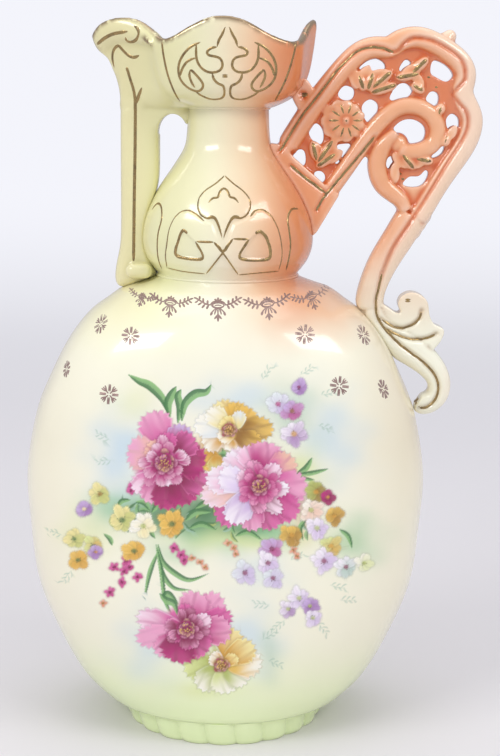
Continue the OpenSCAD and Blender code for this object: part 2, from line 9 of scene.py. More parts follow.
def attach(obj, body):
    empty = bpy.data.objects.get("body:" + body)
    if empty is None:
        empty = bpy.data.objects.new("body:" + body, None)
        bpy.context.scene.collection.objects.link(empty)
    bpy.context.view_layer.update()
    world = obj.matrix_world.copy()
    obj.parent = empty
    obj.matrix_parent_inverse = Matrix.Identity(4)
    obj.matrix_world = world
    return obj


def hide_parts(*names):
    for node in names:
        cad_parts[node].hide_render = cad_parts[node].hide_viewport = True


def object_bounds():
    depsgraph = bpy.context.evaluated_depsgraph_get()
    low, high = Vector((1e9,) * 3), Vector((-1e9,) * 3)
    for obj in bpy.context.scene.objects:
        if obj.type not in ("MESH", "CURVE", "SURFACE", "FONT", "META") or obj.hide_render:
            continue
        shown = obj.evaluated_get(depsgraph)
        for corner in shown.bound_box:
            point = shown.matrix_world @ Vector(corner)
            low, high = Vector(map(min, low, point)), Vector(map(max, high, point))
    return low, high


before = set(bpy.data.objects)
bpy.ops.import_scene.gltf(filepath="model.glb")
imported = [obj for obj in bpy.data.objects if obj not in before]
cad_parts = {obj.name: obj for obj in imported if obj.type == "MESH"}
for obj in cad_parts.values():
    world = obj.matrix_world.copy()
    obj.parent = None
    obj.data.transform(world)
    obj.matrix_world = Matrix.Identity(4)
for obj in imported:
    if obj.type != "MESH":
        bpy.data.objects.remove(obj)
cad_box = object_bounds()

MM = 0.001

# Sizes of the ewer, in millimetres
FOOT_H = 10.5
FOOT_R = 43.3
FOOT_FLARE = 2
FOOT_RING_T = 9
FLUTES = 22
FLUTE_DEPTH = 1.7
FLOOR_R = 20
FLOOR_HALF_W, FLOOR_HALF_D = 40, 36
POINT_R = 0.001
FLASK_W = 171.4
FLASK_D = 100
FLASK_H = 185.5
WALL = 3.8
NECK_Z = FOOT_H + FLASK_H
NECK_H = 70
BULB_W = 72.6
TOP_Z = NECK_Z + NECK_H
RELIEF_T = 0.75

# Faces of the sheets before they are made finer, round and upwards
FLASK_GRID = (150, 132)
NECK_GRID = (150, 100)
NECK_TURNS = 2
FOOT_GRID = (24 * FLUTES, 60)
ROW_STEPS = 16
# Out of sight, a row of faces is this many times as high
HIDDEN_COARSER = 5
# Steps of tone from corner to corner above which the painted sheet is split, turn by turn
PAINT_CONTRASTS = (0.01, 0.03, 0.1)

# Rows of height, half width, half depth and squareness, as shares of the flask's sizes
FLASK_SHARES = [
    (0, 0.612, 0.91, 2), (0.06, 0.737, 0.95, 2.15), (0.16, 0.85, 0.985, 2.4),
    (0.29, 0.952, 1, 2.7), (0.43, 0.988, 1, 2.8), (0.55, 1, 1, 2.8), (0.685, 0.949, 1, 2.8),
    (0.776, 0.872, 0.985, 2.7), (0.854, 0.785, 0.94, 2.5), (0.912, 0.688, 0.86, 2.3),
    (0.946, 0.592, 0.77, 2.15), (0.97, 0.518, 0.69, 2), (0.984, 0.43, 0.635, 2),
    (1, 0.35, 0.6, 2),
]
# Rows of height and half width, as shares of the neck's height and of the bulb's half width
BULB_SHARES = [
    (0, 0.826), (0.05, 0.88), (0.1, 0.945), (0.17, 0.992), (0.25, 1), (0.35, 0.965),
    (0.45, 0.885), (0.55, 0.775), (0.66, 0.63), (0.76, 0.515), (0.85, 0.48), (1, 0.468),
]

# Camera: the photograph's place, in millimetres, with its focal length in pixels
CAM_AT = np.array([10.2, -640.0, 268.2])
CAM_TILT = math.radians(10.4)
CAM_ROLL = math.radians(0.6)
FOCAL = 1500
PIXEL = -CAM_AT[1] / FOCAL
PHOTO_W, PHOTO_H = 500, 756
SENSOR = 36


def camera_axes():
    """Right, up and forward directions of the camera."""
    forward = np.array([0, math.cos(CAM_TILT), -math.sin(CAM_TILT)])
    up = np.array([0, math.sin(CAM_TILT), math.cos(CAM_TILT)])
    right = np.array([1.0, 0, 0])
    c, s = math.cos(CAM_ROLL), math.sin(CAM_ROLL)
    return right * c + up * s, up * c - right * s, forward


RIGHT, UP, FORWARD = camera_axes()


def photo_xy(points):
    """Where points, in millimetres, stand in the photograph."""
    off = points - CAM_AT
    far = off @ FORWARD
    return PHOTO_W / 2 + FOCAL * (off @ RIGHT) / far, PHOTO_H / 2 - FOCAL * (off @ UP) / far


def sight(px, py):
    """Direction from the camera through a place in the photograph."""
    ray = FORWARD + RIGHT * (px - PHOTO_W / 2) / FOCAL - UP * (py - PHOTO_H / 2) / FOCAL
    return ray / np.linalg.norm(ray)


# Curves

def spline(points, steps):
    """A smooth line through points."""
    pts = np.asarray(points, float)
    line = []
    for i in range(len(pts) - 1):
        a, b, c, d = (pts[min(max(i + k, 0), len(pts) - 1)] for k in (-1, 0, 1, 2))
        for k in range(steps):
            t = k / steps
            line.append(b + (c - a) * t / 2 + (2 * a - 5 * b + 4 * c - d) * t ** 2 / 2
                        + (3 * b - a - 3 * c + d) * t ** 3 / 2)
    line.append(pts[-1])
    return np.array(line)


def smooth(low, high, value):
    t = np.clip((value - low) / (high - low), 0, 1)
    return t * t * (3 - 2 * t)


# Mesh helpers

def only(obj):
    bpy.ops.object.select_all(action="DESELECT")
    obj.select_set(True)
    bpy.context.view_layer.objects.active = obj


def edit(obj, *steps):
    """Takes steps of edit mode on everything in a piece."""
    only(obj)
    bpy.ops.object.mode_set(mode="EDIT")
    bpy.ops.mesh.select_all(action="SELECT")
    for step in steps:
        step()
    bpy.ops.object.mode_set(mode="OBJECT")


def apply_modifier(obj, kind, **settings):
    only(obj)
    mod = obj.modifiers.new(kind.title(), kind)
    for key, value in settings.items():
        setattr(mod, key, value)
    bpy.ops.object.modifier_apply(modifier=mod.name)


def read(items, name, kind=float, width=1):
    """An array of one value of all the points, edges, faces or corners of a mesh."""
    values = np.empty(len(items) * width, kind)
    items.foreach_get(name, values)
    return values.reshape(-1, width) if width > 1 else values


def corners(mesh):
    return read(mesh.vertices, "co", width=3)


def set_corners(mesh, co):
    mesh.vertices.foreach_set("co", co.ravel())
    mesh.update()


def shade(obj):
    only(obj)
    bpy.ops.object.shade_smooth_by_angle(angle=math.radians(60))


def store(mesh, name, values):
    """Keeps a number for each point, which the materials read."""
    mesh.attributes.new(name, "FLOAT", "POINT").data.foreach_set("value", values)


def within_box(obj):
    """Keeps a piece inside the CAD's box."""
    low, high = np.array(cad_box[0]), np.array(cad_box[1])
    set_corners(obj.data, np.clip(corners(obj.data), low, high))


def added(name, data):
    """A new piece of the scene."""
    obj = bpy.data.objects.new(name, data)
    bpy.context.scene.collection.objects.link(obj)
    return obj


def copy_of(node, levels=0):
    """A copy of a CAD node's mesh, merged, with its facets rounded when levels are given."""
    piece = added(node + "_copy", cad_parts[node].data.copy())
    piece.data.materials.clear()
    edit(piece, lambda: bpy.ops.mesh.remove_doubles(threshold=1e-6))
    if levels:
        edit(piece, lambda: bpy.ops.mesh.tris_convert_to_quads(
            face_threshold=math.radians(60), shape_threshold=math.radians(60)))
        apply_modifier(piece, "SUBSURF", levels=levels, render_levels=levels)
    return piece


def join(name, pieces):
    only(pieces[0])
    for piece in pieces[1:]:
        piece.select_set(True)
    bpy.ops.object.join()
    pieces[0].name = pieces[0].data.name = name
    return pieces[0]


def placed():
    """The piece just added, with its place, turn and scale put into its mesh."""
    bpy.ops.object.transform_apply(location=True, rotation=True, scale=True)
    return bpy.context.object


def glaze_over(obj, voxel, swell, turns):
    """Closes the joints of a piece as the glaze does: swollen a little, fused and smoothed."""
    edit(obj, lambda: bpy.ops.mesh.normals_make_consistent(inside=False),
         lambda: bpy.ops.transform.shrink_fatten(value=swell * MM))
    apply_modifier(obj, "REMESH", mode="VOXEL", voxel_size=voxel * MM)
    apply_modifier(obj, "SMOOTH", factor=0.5, iterations=turns)


# Sheets: flat grids with a UV map, which a shape function rolls up into a wall

def sheet(name, grid):
    bpy.ops.mesh.primitive_grid_add(x_subdivisions=grid[0], y_subdivisions=grid[1], size=1)
    obj = bpy.context.object
    obj.name = obj.data.name = name
    return obj


def corner_uv(mesh):
    return read(mesh.uv_layers[0].uv, "vector", width=2)


def vertex_uv(mesh):
    uv = np.empty((len(mesh.vertices), 2))
    uv[read(mesh.loops, "vertex_index", int)] = corner_uv(mesh)
    return uv


def finer(obj, shape, wanted, contrast=0):
    """Splits the faces of a sheet that are wanted near a corner; with a contrast, those where
    what is wanted differs by more than it from corner to corner."""
    mesh = obj.data
    start = read(mesh.polygons, "loop_start", int)
    total = read(mesh.polygons, "loop_total", int)
    uv = corner_uv(mesh)
    middle = np.add.reduceat(uv, start, axis=0) / total[:, None]
    near_corners = 0.3 * np.repeat(middle, total, axis=0) + 0.7 * uv
    values = np.array(wanted(shape(near_corners)), float).reshape(len(uv), -1)
    low = np.minimum.reduceat(values, start, axis=0) if contrast else 0
    chosen = (np.maximum.reduceat(values, start, axis=0) - low > contrast).any(axis=1)
    for items in (mesh.vertices, mesh.edges):
        items.foreach_set("select", np.zeros(len(items), bool))
    mesh.polygons.foreach_set("select", chosen)
    only(obj)
    bpy.context.tool_settings.mesh_select_mode = (False, False, True)
    bpy.ops.object.mode_set(mode="EDIT")
    bpy.ops.mesh.subdivide(number_cuts=1)
    bpy.ops.object.mode_set(mode="OBJECT")


def roll_up(obj, shape):
    """Puts each point of a sheet where the shape function has it and closes the seam."""
    set_corners(obj.data, shape(vertex_uv(obj.data)) * MM)
    edit(obj, lambda: bpy.ops.mesh.remove_doubles(threshold=1e-7))
    shade(obj)


# Flask and neck

def profile_rows():
    """Outside of flask and neck: rows of height, half width, half depth and squareness."""
    rows = [(FOOT_H + t * FLASK_H, w * FLASK_W / 2, d * FLASK_D / 2, n)
            for t, w, d, n in FLASK_SHARES]
    rows += [(NECK_Z + t * NECK_H, r * BULB_W / 2, r * BULB_W / 2, 2)
             for t, r in BULB_SHARES[1:]]
    return spline(rows, ROW_STEPS)


PROFILE = profile_rows()
FLASK_END = ROW_STEPS * (len(FLASK_SHARES) - 1)


def inside_of(outside):
    """Rows of the inside of a wall, from its top down."""
    rows = outside[::-ROW_STEPS // 2].copy()
    rows[:, 1:3] -= WALL
    return rows


def way_along(rows, outer=None):
    """How far along its length each row of an outline stands, from 0 to 1."""
    step = np.linalg.norm(np.diff(rows, axis=0), axis=1)
    step[outer or len(step):] /= HIDDEN_COARSER
    run = np.concatenate([[0], np.cumsum(step)])
    return run / run[-1]


def rolled(rows, outer):
    """The shape function of a wall with these rows: the sheet's height runs along them.
    The rows after the outer ones are out of sight and get fewer faces."""
    run = way_along(rows[:, :3], outer)

    def shape(uv):
        z, w, d, n = (np.interp(uv[:, 1], run, rows[:, k]) for k in range(4))
        turn = 2 * math.pi * uv[:, 0]
        c, s = np.cos(turn), np.sin(turn)
        r = (np.abs(c / w) ** n + np.abs(s / d) ** n) ** (-1 / n)
        return np.stack([r * c, r * s, z], axis=1)

    return shape


def make_flask():
    """The flask with its inside and its floor, finer where the flowers are."""
    outside = PROFILE[:FLASK_END + 1]
    inside = inside_of(outside)
    low = [(FOOT_H, POINT_R, POINT_R, 2), (FOOT_H, FLOOR_R, FLOOR_R, 2)]
    floor = [(FOOT_H + WALL, FLOOR_HALF_W, FLOOR_HALF_D, 2), (FOOT_H + WALL, POINT_R, POINT_R, 2)]
    shape = rolled(np.concatenate([
        low, outside, inside[inside[:, 0] > FOOT_H + 2 * WALL], floor]), len(outside) + 1)
    piece = sheet("flask", FLASK_GRID)
    for contrast in PAINT_CONTRASTS:
        finer(piece, shape, painted, contrast)
    roll_up(piece, shape)
    paint_flask(piece)
    return piece


def make_neck():
    """The neck with its inside, finer where its ornament is."""
    outside = PROFILE[FLASK_END:]
    flat = rolled(np.concatenate([outside, inside_of(outside), outside[:1]]), len(outside) - 1)
    piece = sheet("neck", NECK_GRID)
    for _ in range(NECK_TURNS):
        finer(piece, flat, on_ornament)

    def shape(uv):
        points = flat(uv)
        out = points / [BULB_W, BULB_W, 1e9]
        out /= np.linalg.norm(out[:, :2], axis=1)[:, None]
        outside_only = uv[:, 1] < 0.8
        return points + out * (ornament_height(points) * outside_only)[:, None]

    roll_up(piece, shape)
    return piece


def make_foot():
    """A ring with flutes on its outer side only. Its outline is height and radius."""
    base = np.array([
        (0.0, FOOT_R - FOOT_RING_T), (0.0, FOOT_R - 1), (1.5, FOOT_R), (FOOT_H / 2, FOOT_R + 1),
        (FOOT_H, FOOT_R + FOOT_FLARE), (FOOT_H, FOOT_R - FOOT_RING_T), (0.0, FOOT_R - FOOT_RING_T),
    ])
    run = way_along(base)

    def shape(uv):
        z, r = (np.interp(uv[:, 1], run, base[:, k]) for k in (0, 1))
        turn = 2 * math.pi * uv[:, 0]
        flute = np.abs(np.sin(turn * FLUTES / 2 + z * 0.04)) ** 0.7
        r = r - FLUTE_DEPTH * (1 - flute) * smooth(FOOT_R - 3, FOOT_R - 0.5, r)
        return np.stack([r * np.cos(turn), r * np.sin(turn), z], axis=1)

    piece = sheet("foot", FOOT_GRID)
    roll_up(piece, shape)
    return piece


# Painting: on points that stand where the photograph shows them

def ink(code):
    """A colour by its hexadecimal screen code, as the shader reckons with it."""
    value = np.array([int(code[k:k + 2], 16) / 255 for k in (0, 2, 4)])
    return np.where(value <= 0.04045, value / 12.92, ((value + 0.055) / 1.055) ** 2.4)


def blend(low, high, share):
    share = np.asarray(share)[..., None]
    return low * (1 - share) + high * share


def toward(angle):
    """A step of length 1 at an angle."""
    return np.array([math.cos(angle), math.sin(angle)])


def beside(way):
    """A step of the same length at a right angle."""
    return np.array([-way[1], way[0]])


# Turn from one petal or stamen to the next that spreads them evenly round a heart
EVEN_TURN = 2.4
PETAL_COVER = 0.96
SPRIG_COVER = 0.5


class Brush:
    """Lays tones over one another on a set of points."""

    def __init__(self, points):
        self.x, self.y = photo_xy(points)
        self.facing = points[:, 1] < 0
        self.tone = np.zeros((len(points), 3))
        self.cover = np.zeros(len(points))

    def near(self, cx, cy, reach_x, reach_y=None):
        """The points of the front near a place, and how far they are from it, in pixels."""
        at = np.nonzero((np.abs(self.x - cx) < reach_x)
                        & (np.abs(self.y - cy) < (reach_y or reach_x)) & self.facing)[0]
        return at, self.x[at] - cx, self.y[at] - cy

    def lay(self, at, tone, cover):
        """Puts a tone over what is there."""
        under = self.cover[at] * (1 - cover)
        whole = np.maximum(under + cover, 1e-6)
        tone = np.broadcast_to(tone, (len(at), 3))
        self.tone[at] = (tone * cover[:, None] + self.tone[at] * under[:, None]) / whole[:, None]
        self.cover[at] = under + cover

    def disc(self, x, y, tone, cover, outer, inner, squeeze=1):
        """A round spot that fades between two radii."""
        at, dx, dy = self.near(x, y, outer)
        self.lay(at, tone, cover * smooth(outer, inner, np.hypot(dx, dy * squeeze)))

    def wash(self, cx, cy, rx, ry, tone, strength):
        """A faint cloud with a ragged edge."""
        at, dx, dy = self.near(cx, cy, rx * 2, ry * 2)
        ragged = 0.1 * np.sin(dx * 0.13 + dy * 0.09 + cy) + 0.1 * np.sin(dy * 0.17 - dx * 0.07 + cx)
        away = np.maximum(np.hypot(dx / rx, dy / ry) + ragged, 0)
        self.lay(at, tone, strength * np.exp(-1.7 * away ** 2) * smooth(2, 1.5, away))

    def frill(self, base, tip, half, inner, outer, seed):
        """A broad, ragged petal from its base to its tip, with its shadow on what it covers."""
        run = np.subtract(tip, base).astype(float)
        length = np.hypot(*run)
        run /= length
        middle = np.add(base, tip) / 2
        reach = length / 2 + half + 3
        at, dx, dy = self.near(middle[0], middle[1], reach)
        dx, dy = dx + middle[0] - base[0], dy + middle[1] - base[1]
        t = (dx * run[0] + dy * run[1]) / length
        u = (dy * run[0] - dx * run[1]) / half
        wide = 0.6
        top = np.maximum(t - wide, 0) / (1 - wide)
        turn = np.arctan2(u, top + 0.001)
        teeth = np.abs((turn * 2.1 + seed * 0.37) % 1 - 0.5) * 2
        fine = np.abs((turn * 4.7 + seed * 0.71) % 1 - 0.5) * 2
        edge = 1.04 - 0.2 * teeth * (top > 0) - 0.09 * fine + 0.06 * np.sin(turn * 2 + seed)
        low = 0.3 + 0.7 * np.sqrt(np.clip(t / wide, 0, 1))
        away = np.where(t > wide, edge - np.hypot(top, u), edge * low - np.abs(u)) \
            * min(half, length * (1 - wide))
        away = np.minimum(away, (t + 0.04) * length)
        self.lay(at, inner * 0.55, 0.4 * smooth(-2.2, 0.5, away) * (away < 0.4))
        vein = 0.5 + 0.5 * np.sin(u * (5 + seed % 3) + 1.3 * np.sin(t * 5 + seed) + seed)
        fold = 0.5 + 0.5 * np.sin(u * 2.3 - seed * 1.7)
        share = smooth(0.05, 0.95, t + 0.2 * (vein - 0.5) + 0.22 * (fold - 0.5) * t)
        tone = blend(inner, outer, share)
        tone = blend(tone, inner * 0.9, 0.35 * smooth(0.75, 1.0, vein) * smooth(1.0, 0.3, t))
        tone = blend(tone, inner, 0.3 * smooth(0.2, 1.0, u))
        light = np.minimum(outer * 1.12 + 0.08, 1)
        lit = 0.5 * (0.5 + 0.5 * np.sin(u * 3 + seed)) * (length > 12) + 0.12
        tone = blend(tone, light, lit * smooth(1.7, 0.4, away))
        crease = smooth(0.5, 1.0, np.sin(u * 7.3 + t * 3 + seed * 2))
        tone = blend(tone, inner * 0.75, 0.45 * crease * t)
        tone = blend(tone, inner * 0.8, 0.5 * smooth(0.5, 0.0, t))
        self.lay(at, tone, PETAL_COVER * np.clip(away / 0.8 + 0.5, 0, 1))

    def bloom(self, x, y, r, inner, outer, heart, count, seed, half=None):
        """A small open flower of broad petals round an eye, darker away from the light."""
        rng = np.random.default_rng(seed)
        for k in rng.permutation(count):
            angle = 2 * math.pi * (k + rng.uniform(-0.25, 0.25)) / count + seed
            light = min(max(0.5 + 0.6 * math.cos(angle + 2.4) + rng.uniform(-0.2, 0.2), 0), 1)
            tip = np.array([x, y]) + r * rng.uniform(0.74, 1.12) * toward(angle)
            self.frill((x, y), tip, half or 2.3 * r / count + 0.5,
                       blend(inner, outer, 0.2 + 0.5 * light),
                       blend(blend(inner, outer, 0.35), outer, light), int(rng.integers(1, 60)))
        self.disc(x, y, heart, 0.75, r * 0.3, r * 0.1, 1.15)
        self.dots(x, y, r * 0.3, 6, heart * 0.4, 0.35, rng)

    def flower(self, petals, heart_at, heart_r, heart, seed, ruffles=0):
        """A large flower, petal by petal, and its heart of stamens."""
        self.disc(*heart_at, petals[0][5], 1, heart_r * 2.6, heart_r * 1.8)
        for k, (bx, by, tx, ty, half, inner, outer) in enumerate(petals):
            self.frill((bx, by), (tx, ty), half, inner, outer, seed + 7 * k)
        rng = np.random.default_rng(seed)
        deep, pale = petals[-1][5], petals[-2][6]
        for k in range(ruffles):
            way = toward(EVEN_TURN * k + rng.uniform(-0.2, 0.2))
            root = heart_at + way * heart_r * (1.15 - 0.6 * k / ruffles)
            self.frill(root, root + way * heart_r * rng.uniform(0.75, 1.15), heart_r * 0.46,
                       deep, blend(deep, pale, rng.uniform(0.35, 0.95)), int(rng.integers(1, 60)))
        self.disc(*heart_at, heart, 0.85, heart_r * 1.15, heart_r * 0.5)
        for k in range(16):
            way = toward(EVEN_TURN * k)
            root = heart_at + way * heart_r * (0.62 - 0.035 * k)
            self.frill(root, root + way * heart_r * rng.uniform(0.4, 0.6), heart_r * 0.3,
                       heart, blend(heart, (ROSE, MAGENTA, PEACH_PETAL)[k % 3], 0.7),
                       int(rng.integers(1, 60)))
        self.dots(*heart_at, heart_r * 0.6, 26, POLLEN, 0.5, rng)
        self.dots(*heart_at, heart_r * 0.7, 18, heart * 0.5, 0.5, rng)

    def dots(self, cx, cy, reach, count, tone, size, rng):
        """Stamens or specks strewn round a middle."""
        for _ in range(count):
            way = toward(rng.uniform(0, 2 * math.pi))
            away = reach * math.sqrt(rng.uniform(0, 1))
            self.disc(cx + away * way[0], cy + away * way[1], tone, 0.85, size + 0.5, size - 0.3)

    def blade(self, points, width, pale, deep, strength=0.95):
        """A leaf or a stem along a line: widest before its middle, with a pale and a deep half."""
        line = spline(points, 10)
        cx, cy = (line.min(axis=0) + line.max(axis=0)) / 2
        rx, ry = (line.max(axis=0) - line.min(axis=0)) / 2 + width
        at, _, _ = self.near(cx, cy, rx, ry)
        if not len(at):
            return
        here = np.stack([self.x[at], self.y[at]], axis=1)
        off = here[:, None, :] - line[None, :, :]
        away = np.hypot(off[..., 0], off[..., 1])
        k = away.argmin(axis=1)
        near = away[np.arange(len(at)), k]
        run = np.gradient(line, axis=0)[k]
        off = off[np.arange(len(at)), k]
        side = np.sign(run[:, 0] * off[:, 1] - run[:, 1] * off[:, 0])
        t = k / (len(line) - 1)
        half = width / 2 * np.sin(math.pi * np.clip(t, 0.03, 0.97) ** 0.9) ** 0.7
        share = np.clip(near / np.maximum(half, 0.3), 0, 1)
        tone = blend(deep, pale, np.where(side > 0, 0.75, 0.25) + 0.25 * share * side)
        tone = blend(tone, pale * 1.1, smooth(0.16, 0.0, share) * 0.5 * (width > 3))
        self.lay(at, tone, strength * np.clip((half - near) / 0.7 + 0.5, 0, 1))

    def sprig(self, x, y, angle, length, tone, seed):
        """A faint feathery spray."""
        rng = np.random.default_rng(seed)
        way = toward(angle)
        side = beside(way)
        root = np.array([x, y])
        lines = [([root, root + way * length * 0.5 + side, root + way * length], 1.0)]
        for k in range(6):
            base = root + way * length * (k + 0.7) / 6.5
            out = side * (1 if k % 2 else -1)
            reach = length * rng.uniform(0.2, 0.32)
            lines.append(([base, base + way * reach * 0.5 + out * reach * 0.6,
                           base + way * reach + out * reach * 0.8], 1.5))
        for line, width in lines:
            self.blade(line, width, tone, tone * 0.8, SPRIG_COVER)


ROSE, BLUSH, PINK, MAGENTA, WINE = map(ink, "EFA6C8 FADDEA DC64A4 BE2479 8A0A48".split())
PEACH_PETAL, PEARL, LAVENDER = map(ink, "F0BFA6 FAF2F8 E4D2F0".split())
CREAM_WHITE, BUTTER, GOLD_PETAL = map(ink, "FCF8E8 F6E6A0 EFC45C".split())
OCHRE, AMBER, POLLEN = map(ink, "D9A03A 9A6A24 E8C060".split())
LILAC, VIOLET, CLOUD = map(ink, "CDB2DC 9A5FA8 E6ECEC".split())
LEAF, MOSS, SAGE, OLIVE = map(ink, "8FBF7A 37703F A4C6AE B9C46A".split())
SKY, MINT, STRAW = map(ink, "BFD8E8 8FC492 DDE59A".split())
RUSSET, SALMON = map(ink, "D9805A F2B79A".split())

# Petals from the lowest to the topmost: base x, y, tip x, y, half width, tone at base, at tip
ROSE_PEONY = [
    (161, 443, 151, 410, 17, PINK, ROSE), (172, 450, 186, 424, 13, MAGENTA, LILAC),
    (156, 459, 127, 448, 18, PEACH_PETAL, ROSE), (157, 474, 134, 492, 14, PINK, BLUSH),
    (161, 477, 146, 502, 13, MAGENTA, ROSE), (169, 477, 164, 510, 17, WINE, MAGENTA),
    (174, 476, 189, 505, 18, WINE, MAGENTA), (180, 470, 207, 491, 15, WINE, PINK),
    (178, 459, 206, 466, 18, WINE, MAGENTA), (174, 452, 196, 437, 14, WINE, PINK),
    (163, 452, 171, 432, 10, MAGENTA, PINK), (160, 456, 147, 444, 11, MAGENTA, PEACH_PETAL),
    (165, 452, 160, 440, 9, WINE, ROSE), (168, 470, 180, 482, 10, WINE, MAGENTA),
    (165, 466, 163, 486, 13, MAGENTA, BLUSH), (158, 466, 149, 478, 8, MAGENTA, ROSE),
]
WHITE_PEONY = [
    (250, 474, 226, 452, 16, ROSE, PEARL), (254, 468, 242, 446, 11, ROSE, BLUSH),
    (262, 466, 267, 441, 18, MAGENTA, ROSE), (270, 474, 294, 457, 15, PINK, PEACH_PETAL),
    (272, 485, 308, 488, 18, PINK, ROSE), (270, 494, 296, 518, 17, MAGENTA, PINK),
    (262, 499, 273, 530, 15, WINE, PINK), (254, 499, 248, 531, 15, MAGENTA, ROSE),
    (245, 494, 217, 523, 16, MAGENTA, PINK), (241, 488, 199, 497, 14, PEACH_PETAL, BLUSH),
    (241, 483, 204, 478, 14, ROSE, PEARL), (246, 486, 218, 474, 14, LAVENDER, PEARL),
    (250, 492, 230, 524, 15, LILAC, PEARL), (258, 494, 282, 512, 9, WINE, BLUSH),
    (262, 480, 280, 466, 10, MAGENTA, BLUSH), (256, 478, 252, 460, 9, WINE, ROSE),
    (262, 488, 290, 490, 9, MAGENTA, PEARL), (254, 496, 262, 514, 8, WINE, ROSE),
    (250, 484, 240, 470, 8, MAGENTA, BLUSH),
]
LOW_PEONY = [
    (192, 622, 224, 598, 16, PINK, ROSE), (188, 622, 202, 593, 18, MAGENTA, ROSE),
    (196, 624, 234, 616, 12, MAGENTA, PINK), (196, 630, 233, 630, 15, MAGENTA, ROSE),
    (190, 636, 208, 653, 15, WINE, PINK), (179, 627, 136, 617, 13, PINK, BLUSH),
    (179, 633, 136, 639, 13, ROSE, ROSE), (179, 636, 155, 653, 12, MAGENTA, ROSE),
    (182, 634, 176, 663, 20, WINE, MAGENTA), (186, 624, 186, 603, 9, WINE, PINK),
    (190, 628, 212, 618, 9, MAGENTA, BLUSH), (184, 632, 192, 650, 9, WINE, PINK),
    (182, 628, 164, 626, 9, MAGENTA, ROSE), (182, 630, 168, 640, 8, WINE, PINK),
]
YELLOW_BLOOM = [
    (217, 454, 201, 468, 11, OCHRE, GOLD_PETAL), (218, 456, 214, 474, 9, OCHRE, STRAW),
    (232, 424, 216, 401, 13, OCHRE, BUTTER), (236, 424, 235, 401, 12, OCHRE, GOLD_PETAL),
    (238, 426, 252, 408, 13, OCHRE, GOLD_PETAL), (238, 430, 274, 427, 13, AMBER, GOLD_PETAL),
    (236, 436, 262, 445, 12, AMBER, GOLD_PETAL), (230, 438, 226, 450, 12, OCHRE, CREAM_WHITE),
    (222, 434, 203, 446, 13, OCHRE, CREAM_WHITE), (224, 430, 195, 420, 14, CLOUD, CREAM_WHITE),
    (226, 426, 208, 408, 11, BUTTER, CREAM_WHITE), (237, 428, 241, 410, 7, BUTTER, CLOUD),
    (232, 430, 222, 418, 9, GOLD_PETAL, BUTTER), (234, 432, 218, 440, 8, GOLD_PETAL, CREAM_WHITE),
]
LOW_BLOOM = [
    (222, 660, 233, 627, 15, OCHRE, BUTTER), (218, 662, 201, 647, 12, OLIVE, CREAM_WHITE),
    (216, 664, 184, 670, 14, OLIVE, STRAW), (216, 668, 199, 689, 14, OLIVE, CREAM_WHITE),
    (222, 670, 226, 694, 15, STRAW, CREAM_WHITE), (226, 668, 247, 684, 13, OLIVE, CREAM_WHITE),
    (228, 664, 263, 664, 14, GOLD_PETAL, CREAM_WHITE), (226, 660, 256, 645, 13, OCHRE, BUTTER),
    (222, 664, 210, 654, 8, OCHRE, CREAM_WHITE), (224, 664, 238, 656, 7, OCHRE, BUTTER),
]
# So many of the blooms are painted before the white peony
BLOOMS_BELOW_PEONY = 14
BLOOMS = [
    # x, y, radius, tone at base, at tip, eye, petals
    (100, 494, 12, OLIVE, BUTTER, AMBER, 6), (84, 509, 10, VIOLET, LILAC, BUTTER, 5),
    (74, 539, 11, OLIVE, BUTTER, MOSS, 6), (93, 546, 11, OCHRE, STRAW, MOSS, 6),
    (96, 552, 8, VIOLET, LILAC, OCHRE, 5), (78, 560, 11, OCHRE, GOLD_PETAL, MOSS, 6),
    (122, 520, 16, OLIVE, BUTTER, MOSS, 8), (134, 551, 13, OCHRE, GOLD_PETAL, MOSS, 7),
    (172, 524, 16, OCHRE, GOLD_PETAL, MOSS, 9), (143, 526, 14, BUTTER, CREAM_WHITE, OLIVE, 8),
    (299, 387, 9, VIOLET, LILAC, WINE, 5), (278, 404, 13, LILAC, CLOUD, MAGENTA, 6),
    (292, 411, 12, MAGENTA, LILAC, AMBER, 6), (294, 434, 15, VIOLET, PEARL, OCHRE, 8),
    (316, 492, 13, AMBER, OLIVE, OCHRE, 7), (328, 497, 8, WINE, MAGENTA, OCHRE, 5),
    (334, 516, 11, AMBER, GOLD_PETAL, OCHRE, 7), (311, 510, 13, PEACH_PETAL, CREAM_WHITE, OLIVE, 9),
    (292, 535, 13, AMBER, GOLD_PETAL, OCHRE, 7), (331, 546, 12, OCHRE, STRAW, OCHRE, 7),
    (317, 528, 13, LILAC, PEARL, OLIVE, 9), (272, 549, 13, MAGENTA, LILAC, WINE, 7),
    (245, 573, 13, LILAC, CLOUD, WINE, 6), (268, 563, 13, LILAC, PEARL, WINE, 8),
    (273, 578, 12, LILAC, CLOUD, WINE, 7), (324, 561, 14, LILAC, PEARL, WINE, 9),
    (346, 567, 12, SAGE, PEARL, WINE, 8), (364, 563, 10, STRAW, CREAM_WHITE, OLIVE, 7),
    (288, 609, 10, VIOLET, PEARL, OLIVE, 7), (299, 598, 12, LILAC, PEARL, OLIVE, 9),
    (310, 606, 10, VIOLET, LILAC, OLIVE, 7), (313, 618, 10, LILAC, PEARL, OLIVE, 7),
]
